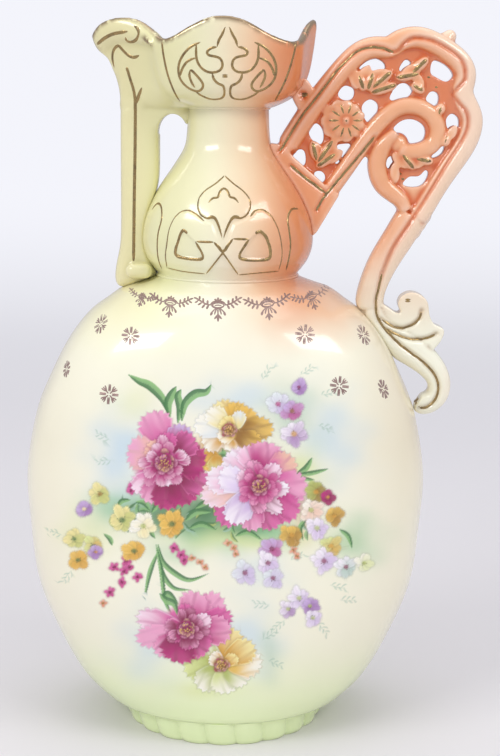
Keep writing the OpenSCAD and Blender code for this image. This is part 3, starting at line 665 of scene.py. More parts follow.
BLADES = [
    # line, width
    ([(168, 412), (162, 398), (150, 386), (139, 381), (129, 375)], 9),
    ([(170, 416), (168, 404), (172, 394), (176, 387)], 9),
    ([(178, 422), (180, 408), (178, 396), (181, 390)], 8),
    ([(182, 420), (185, 404), (195, 394), (206, 392), (211, 385)], 9),
    ([(297, 474), (306, 468), (312, 458)], 6), ([(297, 475), (312, 473), (328, 469)], 5),
    ([(299, 477), (306, 479), (314, 480)], 4),
    ([(158, 545), (163, 562), (176, 574), (190, 580), (208, 574)], 6),
    ([(158, 552), (152, 566), (148, 580), (144, 602)], 5),
    ([(160, 560), (164, 576), (174, 588), (190, 590)], 5),
    ([(156, 545), (161, 570), (165, 600), (172, 615)], 5), ([(163, 600), (168, 594), (178, 604)], 7),
    ([(118, 506), (122, 501), (130, 500)], 5), ([(112, 545), (110, 539), (104, 534)], 5),
    ([(150, 510), (144, 503), (136, 502)], 5), ([(152, 512), (160, 503), (172, 502)], 6),
    ([(186, 520), (196, 512), (210, 512)], 7), ([(190, 528), (202, 524), (216, 530)], 6),
    ([(196, 508), (208, 502), (222, 506)], 6), ([(155, 538), (150, 530), (151, 520)], 5),
    ([(236, 536), (248, 532), (262, 540)], 5), ([(306, 520), (300, 528), (303, 540)], 5),
    ([(340, 530), (348, 536), (352, 548)], 5), ([(160, 500), (176, 504), (190, 500)], 6),
]
WASHES = [
    # x, y, half width, half height, tone, strength
    (120, 450, 34, 44, SKY, 0.75), (135, 400, 30, 24, STRAW, 0.3), (240, 400, 60, 24, SKY, 0.55),
    (330, 440, 42, 50, SKY, 0.6), (355, 540, 34, 30, MINT, 0.6), (215, 528, 74, 24, MINT, 0.95),
    (250, 538, 74, 15, STRAW, 0.85), (120, 500, 34, 26, SKY, 0.55), (90, 530, 34, 30, STRAW, 0.45),
    (165, 505, 52, 22, MINT, 0.95), (196, 512, 36, 16, MOSS, 0.75),
    (262, 530, 40, 14, MINT, 0.9), (112, 508, 30, 20, MINT, 0.6), (212, 446, 16, 16, OCHRE, 0.8),
    (300, 470, 30, 26, STRAW, 0.7),
    (292, 412, 34, 34, SAGE, 0.5), (150, 645, 36, 44, SKY, 0.5), (245, 640, 40, 40, SKY, 0.6),
    (262, 570, 40, 30, SKY, 0.35), (205, 690, 46, 10, STRAW, 0.5), (270, 655, 14, 30, SAGE, 0.45),
    (150, 512, 30, 12, MOSS, 0.55), (214, 522, 34, 10, MOSS, 0.5), (303, 522, 12, 22, OCHRE, 0.4),
    (175, 555, 30, 14, MINT, 0.4), (230, 460, 20, 20, MOSS, 0.7), (300, 502, 22, 18, WINE, 0.35),
    (172, 522, 34, 12, MOSS, 0.7), (240, 530, 30, 8, MOSS, 0.55), (205, 508, 16, 12, MOSS, 0.7),
]
FOLIAGE_SEED = 5
FOLIAGE = [
    # x, y, half width, half height, leaves
    (150, 512, 44, 14, 14), (216, 522, 44, 12, 14), (228, 456, 12, 14, 5), (302, 512, 22, 22, 8),
]
SPRIGS = [
    # x, y, angle
    (262, 380, -1.0), (300, 375, -0.6), (320, 395, -0.2), (318, 425, 0.3), (110, 440, 3.6),
    (112, 460, 3.0), (330, 585, 0.2), (318, 622, 0.9), (285, 620, 2.4), (270, 605, 3.2),
    (340, 600, 0.0), (290, 560, -0.4), (62, 535, 3.4), (72, 570, 2.2), (262, 640, -0.6),
    (268, 660, 0.4),
]
PINK_BUDS = [(126, 561), (129, 567), (124, 571), (114, 567), (138, 577), (122, 582), (132, 486),
             (174, 548), (181, 555), (184, 560), (131, 490), (110, 592)]
PEACH_BUDS = [(192, 558), (200, 562), (205, 567), (228, 543), (234, 548), (236, 554), (293, 550),
              (297, 556), (103, 603)]


def foliage(brush):
    """Short leaves strewn where the bouquet is dense, behind the flowers."""
    rng = np.random.default_rng(FOLIAGE_SEED)
    for cx, cy, rx, ry, count in FOLIAGE:
        for k in range(count):
            turn, away = toward(rng.uniform(0, 2 * math.pi)), math.sqrt(rng.uniform(0, 1))
            root = np.array([cx + rx * away * turn[0], cy + ry * away * turn[1]])
            way = toward(rng.uniform(0, 2 * math.pi)) * rng.uniform(9, 16)
            bend = beside(way) * 0.15
            brush.blade([root, root + way * 0.5 + bend, root + way], rng.uniform(3.5, 6),
                        (LEAF, SAGE, OLIVE)[k % 3], MOSS, 0.8)


def paint_flowers(brush):
    """A spray of garden flowers, as traditional transfers have them."""
    foliage(brush)
    for line, width in BLADES:
        brush.blade(line, width, LEAF, MOSS)
    for k, row in enumerate(SPRIGS):
        brush.sprig(*row, 16, SAGE, k)
    for k, (x, y) in enumerate(PINK_BUDS):
        brush.bloom(x, y, 5.6, MAGENTA, PINK, WINE, 5, k, half=2.0)
    for k, (x, y) in enumerate(PEACH_BUDS):
        brush.bloom(x, y, 4.2, RUSSET, SALMON, OCHRE, 4, k, half=1.5)
    brush.flower(YELLOW_BLOOM, (229, 430), 8, AMBER, seed=3)
    brush.flower(ROSE_PEONY, (164, 463), 13, WINE, seed=11, ruffles=13)
    for k, row in enumerate(BLOOMS):
        if k == BLOOMS_BELOW_PEONY:
            brush.flower(WHITE_PEONY, (259, 486), 11, WINE, seed=23, ruffles=15)
        brush.bloom(*row, k)
    brush.flower(LOW_BLOOM, (221, 665), 8, AMBER, seed=31)
    brush.flower(LOW_PEONY, (186, 629), 11, WINE, seed=47, ruffles=11)
    brush.blade([(160, 594), (166, 600), (174, 604), (177, 614)], 7, LEAF, MOSS)


def painted(points):
    """What the flowers put there, which tells where the mesh must be fine."""
    brush = Brush(points)
    paint_flowers(brush)
    return brush.tone * (brush.cover * on_outside(points))[:, None] + brush.cover[:, None] * 0.2


def on_outside(points):
    """Points of the flask's outside, not of its inner wall."""
    level = (points[:, 2] - FOOT_H) / FLASK_H
    rows = np.array(FLASK_SHARES)
    w, d, n = (np.interp(level, rows[:, 0], rows[:, k]) for k in (1, 2, 3))
    w, d = w * FLASK_W / 2 - WALL / 2, d * FLASK_D / 2 - WALL / 2
    return np.abs(points[:, 0] / w) ** n + np.abs(points[:, 1] / d) ** n > 1


def paint_flask(obj):
    """Stores the flowers' tones and how much they cover."""
    points = corners(obj.data) / MM
    brush = Brush(points)
    for row in WASHES:
        brush.wash(*row)
    paint_flowers(brush)
    layer = obj.data.color_attributes.new("paint", "FLOAT_COLOR", "POINT")
    cover = brush.cover * on_outside(points)
    layer.data.foreach_set("color", np.column_stack([brush.tone, cover]).ravel())


# Neck ornament, drawn in the photograph's pixels; the back has the same, mirrored

SPADE = [(224.6, 175.6), (216, 183.3), (206, 190), (199.4, 197.8), (197.9, 206.7), (200.6, 214.4),
         (207.2, 218.6), (215, 218.2), (222.8, 238.9), (232, 218.2), (240.5, 218.4), (247, 214.4),
         (250.4, 206.7), (248.8, 197.8), (242, 190), (233, 183.3)]
BOOT_LEFT = [(167.2, 267.8), (165.4, 256.7), (166.8, 243.3), (169, 230), (173.9, 218.9),
             (180.6, 212.2), (188.3, 210.4), (196.1, 214.4), (204, 221), (212, 224), (222.8, 252.7),
             (206.1, 274), (182.8, 271.4)]
WINDOW_LEFT = [(195.4, 241.6), (202.8, 258.9), (176.6, 256.2), (178.3, 241.1), (182.8, 230.4),
               (187.2, 233.3)]
BOOT_RIGHT = [(250.6, 216.7), (255, 211.1), (262.8, 210), (271.7, 216.7), (278.3, 230),
              (281.7, 245.6), (281.7, 258.9), (278.3, 271.1), (238.3, 274.9), (222.8, 252.7),
              (234, 224), (242, 221)]
WINDOW_RIGHT = [(249.4, 239.3), (239.4, 258.4), (269, 258.9), (267.7, 241.1), (260.6, 231.8),
                (255.7, 234)]
# Ends of lines on both sides of the spade's tip
STEM_LEFT, STEM_RIGHT = (213.9, 242.2), (232.8, 238.9)


def distance(x, y, line):
    """Distance in pixels from places to a line through points."""
    away = np.full(len(x), 1e9)
    for a, b in zip(line[:-1], line[1:]):
        run = b - a
        t = np.clip(((x - a[0]) * run[0] + (y - a[1]) * run[1]) / (run @ run), 0, 1)
        away = np.minimum(away, np.hypot(x - a[0] - t * run[0], y - a[1] - t * run[1]))
    return away


def signed_distance(x, y, outline):
    """Distance in pixels to a closed outline, positive inside it."""
    line = np.array(outline + outline[:1], float)
    inside = np.zeros(len(x), bool)
    for a, b in zip(line[:-1], line[1:]):
        if a[1] != b[1]:
            inside ^= ((a[1] > y) != (b[1] > y)) \
                & (x < (b[0] - a[0]) * (y - a[1]) / (b[1] - a[1]) + a[0])
    return np.where(inside, 1, -1) * distance(x, y, line)


def front_image(points):
    """Where points stand in the photograph, those of the back mirrored to the front."""
    turned = points.copy()
    turned[:, 1] = -np.abs(turned[:, 1])
    return photo_xy(turned)


def on_ornament(points):
    """Points of the neck's outside on its ornament or close to it."""
    px, py = front_image(points)
    wanted = np.zeros(len(points), bool)
    for outline in (SPADE, BOOT_LEFT, BOOT_RIGHT):
        wanted |= signed_distance(px, py, outline) > -3
    return wanted & (np.hypot(points[:, 0], points[:, 1]) > np.interp(
        points[:, 2], PROFILE[FLASK_END:, 0], PROFILE[FLASK_END:, 1]) - WALL / 2)


def ornament_height(points):
    """How far the moulded ornament stands proud, in millimetres."""
    px, py = front_image(points)
    height = np.zeros(len(points))
    for outline, window in ((SPADE, None), (BOOT_LEFT, WINDOW_LEFT), (BOOT_RIGHT, WINDOW_RIGHT)):
        rise = smooth(-1.2, 1.8, signed_distance(px, py, outline))
        if window:
            rise = rise * (1 - smooth(-1.2, 1.8, signed_distance(px, py, window)))
        height = np.maximum(height, rise)
    return height * RELIEF_T


# Lines of gold and of the brown transfers, in the photograph's pixels

def mirrored(line, axis):
    return [(2 * axis - x, y) for x, y in line]


SIDE_STRAP = [(151.7, 210), (157.2, 203.3), (161.2, 206.7), (161.7, 218.9), (158.3, 232.2),
              (157.2, 245.6), (158.3, 258.9), (161.7, 268.9)]
RIGHT_STRAP = [(298.3, 208.9), (291.5, 209.4), (287.7, 218.9), (289.4, 232.2), (290.6, 245.6),
               (288.3, 261.1), (286.1, 270)]
SPADE_INNER = [(208.3, 203), (212.8, 197.8), (217.9, 197.8), (219.4, 192.2), (223.9, 187.8),
               (228.3, 192.2), (229.8, 197.2), (234.5, 197.8), (238.6, 203)]
CUP_MIDDLE = 227.3
CUP_CRESCENT = [(200.5, 42.1), (189.8, 47.4), (181.4, 57.6), (178.3, 68.3), (180.2, 79),
                (187.4, 87.4), (196.9, 91.4), (202.1, 88.6), (202.9, 83.8), (198.8, 77.9),
                (193.3, 71.9), (190.2, 69.5)]
CUP_CRESCENT_INNER = [(196.4, 57.6), (187.4, 61.2), (181.9, 69.5), (180.4, 76)]
CUP_LEAF = [(190.2, 69.5), (189.3, 76), (192, 83), (195, 88)]
CUP_SCROLL = [(196.4, 43), (196.2, 57.6), (200.5, 67.1), (208.8, 72.4), (218.3, 71.4),
              (222.6, 66), (220.7, 58.8), (214.8, 56.4), (208.8, 55.2), (207.1, 51.7),
              (211.2, 48.1), (217.1, 46.9)]
CUP_SPEAR = [(217.1, 46.9), (218.8, 40), (221.5, 35.5), (225.5, 26.7)]
CUP_FOOT = [(212.4, 73.1), (213.6, 79), (218.3, 83.8), (223.6, 86.2), (224.3, 94.5), (220.7, 98.6),
            (211.2, 99.3), (201.7, 95.7), (195, 91)]
KEEL_LEFT = [(161.7, 32.6), (162.4, 48), (164.8, 62.4), (168.3, 76.7), (174.3, 92), (180, 101.7)]
KEEL_RIGHT = [(296.4, 39.8), (294.5, 51.7), (290.2, 67), (285, 81.4), (279, 93.3), (275, 101)]
LIP_LINE = [(95.7, 45.7), (104, 38.6), (113.6, 33.8), (127.9, 31.4)]
LIP_CURL = [(133.8, 25.5), (138.6, 30.2), (137.9, 37.4), (132.6, 42.1), (126.7, 41), (125.5, 36.7)]
LIP_UNDER = [(114.4, 68.3), (112.2, 57.6), (114, 49.3), (118.3, 45.5), (121.9, 49.3),
             (127.9, 55.2), (134, 57.6), (139.3, 55.2)]
STRUT_LINE = [(126.5, 67.1), (130.2, 79), (133.8, 91), (135.2, 105), (135, 150), (134.2, 200),
              (133.5, 261)]
STRUT_BRANCH = [(142, 87.4), (138.6, 95.7), (135.5, 105)]
OUTER_RAIL = [(279.8, 151), (285.3, 142.8), (300.9, 117.2), (317.6, 96.1), (336.4, 71.7),
              (349.8, 57.2), (359.8, 50.1), (372, 47.2), (383.1, 48.3), (392, 52)]
RAIL_GROOVE = OUTER_RAIL + [
    (399, 50), (404, 43.9), (414, 38), (432, 40.4), (449.8, 50), (461, 59.4), (465, 68.3),
    (465, 79.4), (459, 87), (453.5, 94), (460, 103.9), (467, 112.8), (468, 126.1),
    (461.5, 141.7), (448.5, 161.7), (436.4, 181.7), (425.3, 199.4), (419, 209), (406.7, 227.8),
    (393.3, 247.8), (384.4, 267.8), (379, 285)]
INNER_SIDE = RAIL_GROOVE + [(300, 285), (270, 151)]
FRET_REGION = RAIL_GROOVE[:-6] + [(404, 185), (375, 165), (368, 145), (330, 196), (290, 166)]
INNER_RAIL = [(316.4, 210.6), (322, 200), (327.6, 192.8), (338.7, 179.4), (352, 164), (366, 147),
              (374, 137)]
FRET_BASE = [(290.9, 165.7), (303, 176), (325.3, 192.8)]
TAIL_LINE = [(382.2, 272), (378, 290), (375.5, 303), (377.8, 318), (386.7, 331), (400, 344.6),
             (413.3, 354.6), (426.7, 365.6), (435.6, 376.7), (438.5, 389), (434.4, 400.5),
             (426.7, 407), (419, 408)]
LEAF_LINE = [(380.5, 319), (391, 325.6), (400, 328.3), (411, 325.4), (418.9, 318.9), (421.5, 311)]
LOBE_LINE = [(385, 328), (400, 336), (413.3, 339.4), (426.7, 338), (436, 334)]
TAIL_CURL = [(424, 398), (417, 399.5), (416, 404), (420, 407)]
# The flower of the panel, in pixels, and the depth of the panel's faces, in millimetres
FLOWER_AT, FLOWER_REACH = (346, 120.6), 19.5
PETALS = 10
FACE_Y = 3.9
FRET_LEAVES = [
    # tip, base
    ((359, 76), (364.2, 90.6)), ((373, 73.5), (367.6, 90.6)), ((392, 71), (373, 87.5)),
    ((397, 84.5), (371, 92.8)), ((428, 58), (413, 72)), ((396, 77.8), (418.7, 73.9)),
    ((312.5, 141), (316.4, 160)), ((332.4, 141), (318, 162)), ((335, 154), (316.5, 167)),
    ((403, 155), (414.2, 169)), ((433, 161.7), (417, 159)), ((412, 84), (424, 92)),
    ((442, 104), (439, 114)), ((447, 136), (444, 146)),
]
BRIDGE_EYE = [(301.5, 93), (304, 94), (303.5, 97)]
GOLD_DOTS = [(421.3, 88.3), (428.7, 77.2), (436.4, 87.2), (399.8, 173.9), (403, 179),
             (440.9, 110.6), (346, 120.6)]
GOLD_SPOTS = [(407.8, 300.4), (419, 401), (225, 76), (305.5, 94.5)]


def star(cx, cy, r, squeeze=1.0, lean=0.0):
    """An eight-armed star of the transfer: four broad fans between four slim arms."""
    strokes = []
    for k in range(8):
        angle = k * math.pi / 4 + 0.1

        def spot(away, aside):
            x = away * math.cos(angle) - aside * math.sin(angle)
            y = away * math.sin(angle) + aside * math.cos(angle)
            return cx + x * squeeze, cy + y + x * lean

        if k % 2:
            strokes.append([spot(0.12 * r, 0), spot(0.95 * r, 0)])
            for s in (r, -r):
                strokes.append([spot(0.4 * r, 0), spot(0.7 * r, 0.2 * s), spot(0.95 * r, 0.22 * s)])
        else:
            for s in (r, -r):
                strokes.append([spot(0.3 * r, 0.07 * s), spot(r, 0.07 * s)])
    return strokes


def lobe(base, tip, half=0.7):
    """A small leaf of the transfer, made of two strands that part and meet again."""
    (ax, ay), (bx, by) = base, tip
    length = math.hypot(bx - ax, by - ay)
    nx, ny = (ay - by) / length * half, (bx - ax) / length * half
    mx, my = 0.4 * ax + 0.6 * bx, 0.4 * ay + 0.6 * by
    return [[base, (mx + nx, my + ny), tip], [base, (mx - nx, my - ny), tip]]


# One side of the motif: strokes, then leaves by their base, tip and half width
SWAG_STROKES = [
    [(6.5, 5), (11, 4.6), (15, 2.6), (19, 0), (23, -2)],
    [(1, 8.4), (2.7, 11), (3.4, 14.5)], [(2, 8.4), (4.8, 10.4), (6.6, 13)],
]
SWAG_LEAVES = [
    (1, 1, 3.4, -1, 0.5), (0, 14.5, 3.6, 19, 0.6), (5.8, 11.6, 7.4, 15.4, 1.0),
    (9.5, 5, 11.4, 9, 0.8), (13, 4, 16, 8, 1.0), (16, 2.4, 20, 5, 0.8),
    (19.5, 0.4, 23, 2.8, 0.7), (10.5, 4.4, 10.4, 0.2, 0.7), (14.5, 2.6, 15, -1.8, 0.7),
    (18.5, 0, 18.2, -4, 0.6), (20, -1, 24, -2.6, 0.7),
]


def swag(cx, cy, turn, size=1.0):
    """A motif of the collar transfer: an oval shell, leafy side arms and a pendant palmette."""
    rim = [(6.2 * math.cos(a), 5.3 + 2.9 * math.sin(a)) for a in np.linspace(0, 2 * math.pi, 11)]
    drawn = [rim, [(-3.4, 5.6), (0, 4.6), (3.4, 5.6)],
             [(-8, 5), (-5, 1.8), (0, 0.8), (5, 1.8), (8, 5)], [(0, 8.2), (0, 14)]]
    drawn += lobe((0, 1), (0, -2.4)) + lobe((0, 13), (0, 21.5), 1.0)
    for side in (-1, 1):
        drawn += [[(side * x, y) for x, y in line] for line in SWAG_STROKES]
        for ax, ay, bx, by, half in SWAG_LEAVES:
            drawn += lobe((side * ax, ay), (side * bx, by), half)
    c, q = math.cos(turn) * size, math.sin(turn) * size
    return [[(cx + x * c - y * q, cy + x * q + y * c) for x, y in line] for line in drawn]


STARS = [
    # x, y, radius, squeeze, lean
    (130.7, 335.7, 9), (109, 394.3, 10, 0.95), (305, 334.3, 10), (339.3, 386, 10, 0.95),
    (101, 324, 9, 0.75, -0.5), (66.7, 369, 8, 0.45, -0.4), (363.5, 335, 9, 0.75, 0.6),
    (383.3, 389, 9, 0.6, 0.5),
]
SWAGS = [
    # x, y, turn, size
    (218, 300, 0), (267, 299, -0.12), (171, 298, 0.12, 0.92), (310, 292.5, -0.32, 0.86),
    (143, 294, 0.3, 0.62),
]
TRANSFERS = sum([star(*row) for row in STARS] + [swag(*row) for row in SWAGS], [])

# Length in pixels of one step of a laid line, and the jump that breaks it, in millimetres
LINE_STEP = 1.6
LINE_JUMP = 4
# Turns of averaging: for the surface round a point, and to soften a line or what is stored
ROUND_TURNS = 10
SOFT_TURNS = 2
# Depth in millimetres that counts as wholly hollow
FULL_HOLLOW = 0.22


class Line:
    """Lines laid on the ewer where the photograph shows them."""

    def __init__(self, *pieces):
        graph = bpy.context.evaluated_depsgraph_get()
        self.trees = [BVHTree.FromObject(piece, graph) for piece in pieces]
        self.eye = Vector(CAM_AT * MM)

    def touch(self, px, py):
        """The nearest point that the camera sees there, and the surface's normal."""
        ray = Vector(sight(px, py))
        hits = [tree.ray_cast(self.eye, ray) for tree in self.trees]
        hits = [hit for hit in hits if hit[0] is not None]
        return min(hits, key=lambda hit: hit[3])[:2] if hits else None

    def parts(self, stroke):
        """What a stroke meets on the surface, in parts where it jumps to another piece."""
        run = spline(stroke, 6)
        length = np.hypot(*np.diff(run, axis=0).T).sum()
        at = np.linspace(0, len(run) - 1, max(int(length / LINE_STEP), 4))
        spots = zip(*(np.interp(at, range(len(run)), run[:, k]) for k in (0, 1)))
        parts = [[]]
        for spot in spots:
            hit = self.touch(*spot)
            part = parts[-1]
            if not hit or (part and (hit[0] - part[-1][0]).length >= LINE_JUMP * MM):
                parts.append([])
            if hit:
                parts[-1].append(hit)
        return [part for part in parts if len(part) > 1]

    def lay(self, name, slot, material, strokes, radius, sunk, taper=0.22):
        """Beads of one radius, sunk into the surface, so that a slim raised line shows.
        The back gets the same lines as the front."""
        curve = bpy.data.curves.new(name, "CURVE")
        curve.dimensions = "3D"
        curve.bevel_depth = radius * MM
        curve.bevel_resolution = 4
        curve.use_fill_caps = True
        for stroke in strokes:
            for part in self.parts(stroke):
                for side in (1, -1):
                    self.string(curve, part, side, sunk, taper)
        obj = added(name, curve)
        only(obj)
        bpy.ops.object.convert(target="MESH")
        obj.data.materials.append(material)
        within_box(obj)
        shade(obj)
        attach(obj, "root")

    def string(self, curve, part, side, sunk, taper):
        """One line under the surface, on the front or, with side -1, on the back."""
        line = curve.splines.new("POLY")
        line.points.add(len(part) - 1)
        spots = np.array([at - normal * sunk * MM for at, normal in part])
        for _ in range(SOFT_TURNS):
            spots[1:-1] = (spots[:-2] + 2 * spots[1:-1] + spots[2:]) / 4
        for k, (x, y, z) in enumerate(spots):
            line.points[k].co = (x, y * side, z, 1)
            end = min(k, len(part) - 1 - k)
            line.points[k].radius = 1 - max(0, 1 - end / 3) * taper


def engrave(obj, lines, reach, depth):
    """Presses grooves into both faces of a piece, along lines in the photograph."""
    points = corners(obj.data) / MM
    px, py = front_image(points)
    away = np.min([distance(px, py, spline(line, 4)) for line in lines], axis=0)
    push = depth * np.exp(-(away / reach) ** 2) * smooth(0.8, 2.5, np.abs(points[:, 1]))
    points[:, 1] -= np.sign(points[:, 1]) * push
    set_corners(obj.data, points * MM)


def clear_arch(obj, middle, reach):
    """Scrapes the slip out of an arch seen in the photograph, down to the arch's middle."""
    points = corners(obj.data) / MM
    px, py = front_image(points)
    x, y = (px - middle[0]) / reach[0], (py - middle[1]) / reach[1]
    away = np.hypot(x, y)
    grow = np.where((away < 1) & (y < 0.1), 1 / np.maximum(away, 0.3), 1) - 1
    points[:, 0] += grow * x * reach[0] * PIXEL
    points[:, 2] -= grow * y * reach[1] * PIXEL
    set_corners(obj.data, points * MM)


def on_face(px, py, y):
    """The point at depth y, in millimetres, that the photograph shows there."""
    ray = sight(px, py)
    return CAM_AT + ray * (y - CAM_AT[1]) / ray[1]


def pad(tip, base, width, height, y):
    """A puffed leaf or petal on one face of the panel, from its base to its tip."""
    a, b = on_face(*base, -abs(y)), on_face(*tip, -abs(y))
    middle = (a + b) / 2
    middle[1] = y
    run = b - a
    bpy.ops.mesh.primitive_uv_sphere_add(
        segments=14, ring_count=8, radius=1, location=middle * MM,
        rotation=(0, -math.atan2(run[2], run[0]), 0),
        scale=(np.hypot(run[0], run[2]) / 2 * MM, height * MM, width / 2 * MM))
    return placed()


def sprays():
    """Petals and leaves of both faces of the panel."""
    pieces = []
    cx, cy = FLOWER_AT
    for y in (-FACE_Y, FACE_Y):
        for k in range(PETALS):
            way = toward(2 * math.pi * (k + 0.5) / PETALS)
            pieces.append(pad(FLOWER_AT + FLOWER_REACH * way, FLOWER_AT + 3 * way, 4.4, 1.3, y))
        pieces.append(pad((cx + 3.2, cy), (cx - 3.2, cy), 2.8, 2.2, y))
        for tip, base in FRET_LEAVES:
            pieces.append(pad(tip, base, 3.7, 1.7, y * 0.95))
    return pieces


def relax(values, edges, turns):
    """Averages values with those of their neighbours."""
    count = np.bincount(edges.ravel(), minlength=len(values))[:, None]
    for _ in range(turns):
        total = np.stack([
            np.bincount(edges[:, 0], values[edges[:, 1], k], len(values))
            + np.bincount(edges[:, 1], values[edges[:, 0], k], len(values))
            for k in range(values.shape[1])], axis=1)
        values = total / np.maximum(count, 1)
    return values


def lump(x, y, z, radii):
    """A dab of slip that fills the corner where two pieces are luted together."""
    bpy.ops.mesh.primitive_uv_sphere_add(segments=24, ring_count=14, radius=1,
                                         location=(x * MM, y * MM, z * MM),
                                         scale=[r * MM for r in radii])
    return placed()


def lump_at(px, py, radii):
    """The same, where the photograph shows it, in the ewer's middle plane."""
    return lump(*on_face(px, py, 0), radii)


def collar(radius, z, thick):
    """The bead of slip round a joint of the neck."""
    bpy.ops.mesh.primitive_torus_add(location=(0, 0, z * MM), major_segments=144,
                                     minor_segments=12, major_radius=radius * MM,
                                     minor_radius=thick * MM)
    return placed()


def raised(mesh):
    """How far each point stands proud of the surface round it, in millimetres; and the edges."""
    points = corners(mesh) / MM
    edges = read(mesh.edges, "vertices", int, 2)
    normals = read(mesh.vertices, "normal", width=3)
    return ((points - relax(points, edges, ROUND_TURNS)) * normals).sum(axis=1), edges


def softened(values, edges):
    return relax(values[:, None], edges, SOFT_TURNS)[:, 0]


def store_hollow_shade_and_highlight(obj):
    """Stores how hollow the surface is at each point, for painted shade, and how much of a crown it
    is, for a painted highlight.
    """
    mesh = obj.data
    points = corners(mesh) / MM
    rise, edges = raised(mesh)
    hollow = softened(np.clip(-rise / FULL_HOLLOW, 0, 1), edges)
    within = smooth(-2, 2, signed_distance(*front_image(points), FRET_REGION))
    deep = np.abs(points[:, 1])
    # The sunk fret plate and the walls of its piercings count as hollow too: painted shade there
    hollow = np.maximum(hollow, 0.7 * smooth(3.6, 3.1, deep) * within)
    hollow = np.maximum(hollow, smooth(2.8, 2.2, deep) * within)
    store(mesh, "hollows", hollow)
    store(mesh, "crown_highlight", softened(smooth(0.06, 0.3, rise), edges))


def store_rim(obj):
    """Stores where the brush that gilds the rim has passed: along its crown."""
    points = corners(obj.data) / MM
    rise, edges = raised(obj.data)
    crown = softened(smooth(0.12, 0.26, rise), edges)
    store(obj.data, "gilt", crown * smooth(TOP_Z + 22, TOP_Z + 24, points[:, 2]))


def store_band(obj):
    """Stores how far a point is on the pale outer band of the rail and of the stem."""
    px, py = front_image(corners(obj.data) / MM)
    band = smooth(0, -3, signed_distance(px, py, INNER_SIDE)) * smooth(405, 450, px + 0.25 * py)
    store(obj.data, "band", band)


flask = make_flask()
neck = join("neck", [
    make_neck(), collar(BULB_W * BULB_SHARES[0][1] / 2, NECK_Z, thick=0.6),
    collar(BULB_W * BULB_SHARES[-1][1] / 2, TOP_Z, thick=0.7),
])
shade(neck)
foot = make_foot()

cup = join("cup_and_strut", [
    copy_of("mouth_cup", 2), copy_of("spout_strut", 2), copy_of("strut_knuckle"),
    copy_of("spout_lip", 1), lump(-37.2, 0, TOP_Z + 1, (8.2, 7.4, 8)),
    lump_at(178, 112, (8.5, 4.4, 5.5)),
])
glaze_over(cup, voxel=0.6, swell=0.35, turns=2)
clear_arch(cup, middle=(172.5, 132), reach=(14.5, 18))
glaze_over(cup, voxel=0.6, swell=0, turns=8)
store_hollow_shade_and_highlight(cup)
store_rim(cup)
within_box(cup)
shade(cup)

handle = join("pierced_handle", [
    copy_of("handle_root"), copy_of("handle_bridge"), copy_of("handle_outer_rail", 1),
    copy_of("handle_inner_rail", 1), copy_of("handle_c_scroll", 1), copy_of("handle_knob"),
    copy_of("fret_panel"), copy_of("fret_flower"), copy_of("fret_leaves"), copy_of("handle_stem", 1),
    lump(81.3, 0, 222.5, (5.2, 4.6, 5.2)), lump(79.4, 0, 219.5, (5.2, 4.6, 5.2)),
    lump(77.4, 0, 216.3, (5.2, 4.6, 5.2)), lump_at(397.5, 144, (4.4, 4.9, 4.6)),
    lump_at(447, 38.5, (3.4, 3, 2.6)), lump_at(303, 95.5, (4.4, 4.6, 4.4)),
    copy_of("handle_leaf"), copy_of("handle_tail", 1),
    lump_at(370, 303, (5.6, 4.4, 8)),
] + sprays())
glaze_over(handle, voxel=0.54, swell=0.3, turns=5)
engrave(handle, [RAIL_GROOVE, TAIL_LINE, LEAF_LINE, LOBE_LINE], reach=2.2, depth=1.3)
engrave(handle, [INNER_RAIL, FRET_BASE], reach=2.0, depth=0.8)
engrave(handle, [BRIDGE_EYE], reach=3.0, depth=1.6)
store_hollow_shade_and_highlight(handle)
store_band(handle)
within_box(handle)
shade(handle)


# Materials

class Value:
    """A socket that can be reckoned with."""

    def __init__(self, finish, socket):
        self.finish = finish
        self.socket = socket

    def math(self, operation, *values):
        return self.finish.node("Math", dict(enumerate(values)), operation=operation)

    def __add__(self, other):
        return self.math("ADD", self, other)

    def __mul__(self, other):
        return self.math("MULTIPLY", self, other)

    def __sub__(self, other):
        return self.math("SUBTRACT", self, other)

    def __rsub__(self, other):
        return self.math("SUBTRACT", other, self)

    __radd__ = __add__
    __rmul__ = __mul__

    def ramp(self, low, high):
        """0 below low, 1 above high and a soft step between them."""
        return self.finish.node("MapRange", {0: self, 1: low, 2: high, 3: 0.0, 4: 1.0},
                                interpolation_type="SMOOTHSTEP")


class Finish:
    """A material that is put together node by node."""

    def __init__(self, name):
        self.material = bpy.data.materials.new(name)
        self.material.use_nodes = True
        self.nodes = self.material.node_tree.nodes
        self.links = self.material.node_tree.links
        self.nodes.clear()
        self.output = self.nodes.new("ShaderNodeOutputMaterial")

    def node(self, kind, sockets, out=0, **settings):
        """One of the outputs of a new node whose sockets are given numbers, tones or Values."""
        node = self.nodes.new("ShaderNode" + kind)
        for key, value in settings.items():
            setattr(node, key, value)
        for key, value in sockets.items():
            self.plug(node.inputs[key], value)
        return Value(self, node.outputs[out])

    def plug(self, socket, value):
        if isinstance(value, Value):
            self.links.new(value.socket, socket)
        elif isinstance(value, tuple) and len(value) == 3 and socket.type == "RGBA":
            socket.default_value = (*value, 1)
        else:
            socket.default_value = value

    def place(self):
        """The place on the surface, and its x, y and z, in metres."""
        at = self.node("TexCoord", {}, "Object")
        split = self.node("SeparateXYZ", {0: at})
        return at, [Value(self, socket) for socket in split.socket.node.outputs]

    def stored(self, name):
        """A number that was stored for each point."""
        return self.node("Attribute", {}, "Fac", attribute_name=name)

    def noise(self, at, scale, detail=3.0, rough=0.5):
        return self.node("TexNoise", {
            "Vector": at, "Scale": scale, "Detail": detail, "Roughness": rough})

    def mix(self, share, low, high):
        return self.node("Mix", {0: share, 6: low, 7: high}, 2, data_type="RGBA")

    def surface(self, **sockets):
        shader = self.node("BsdfPrincipled", sockets)
        self.links.new(shader.socket, self.output.inputs[0])
        return self.material
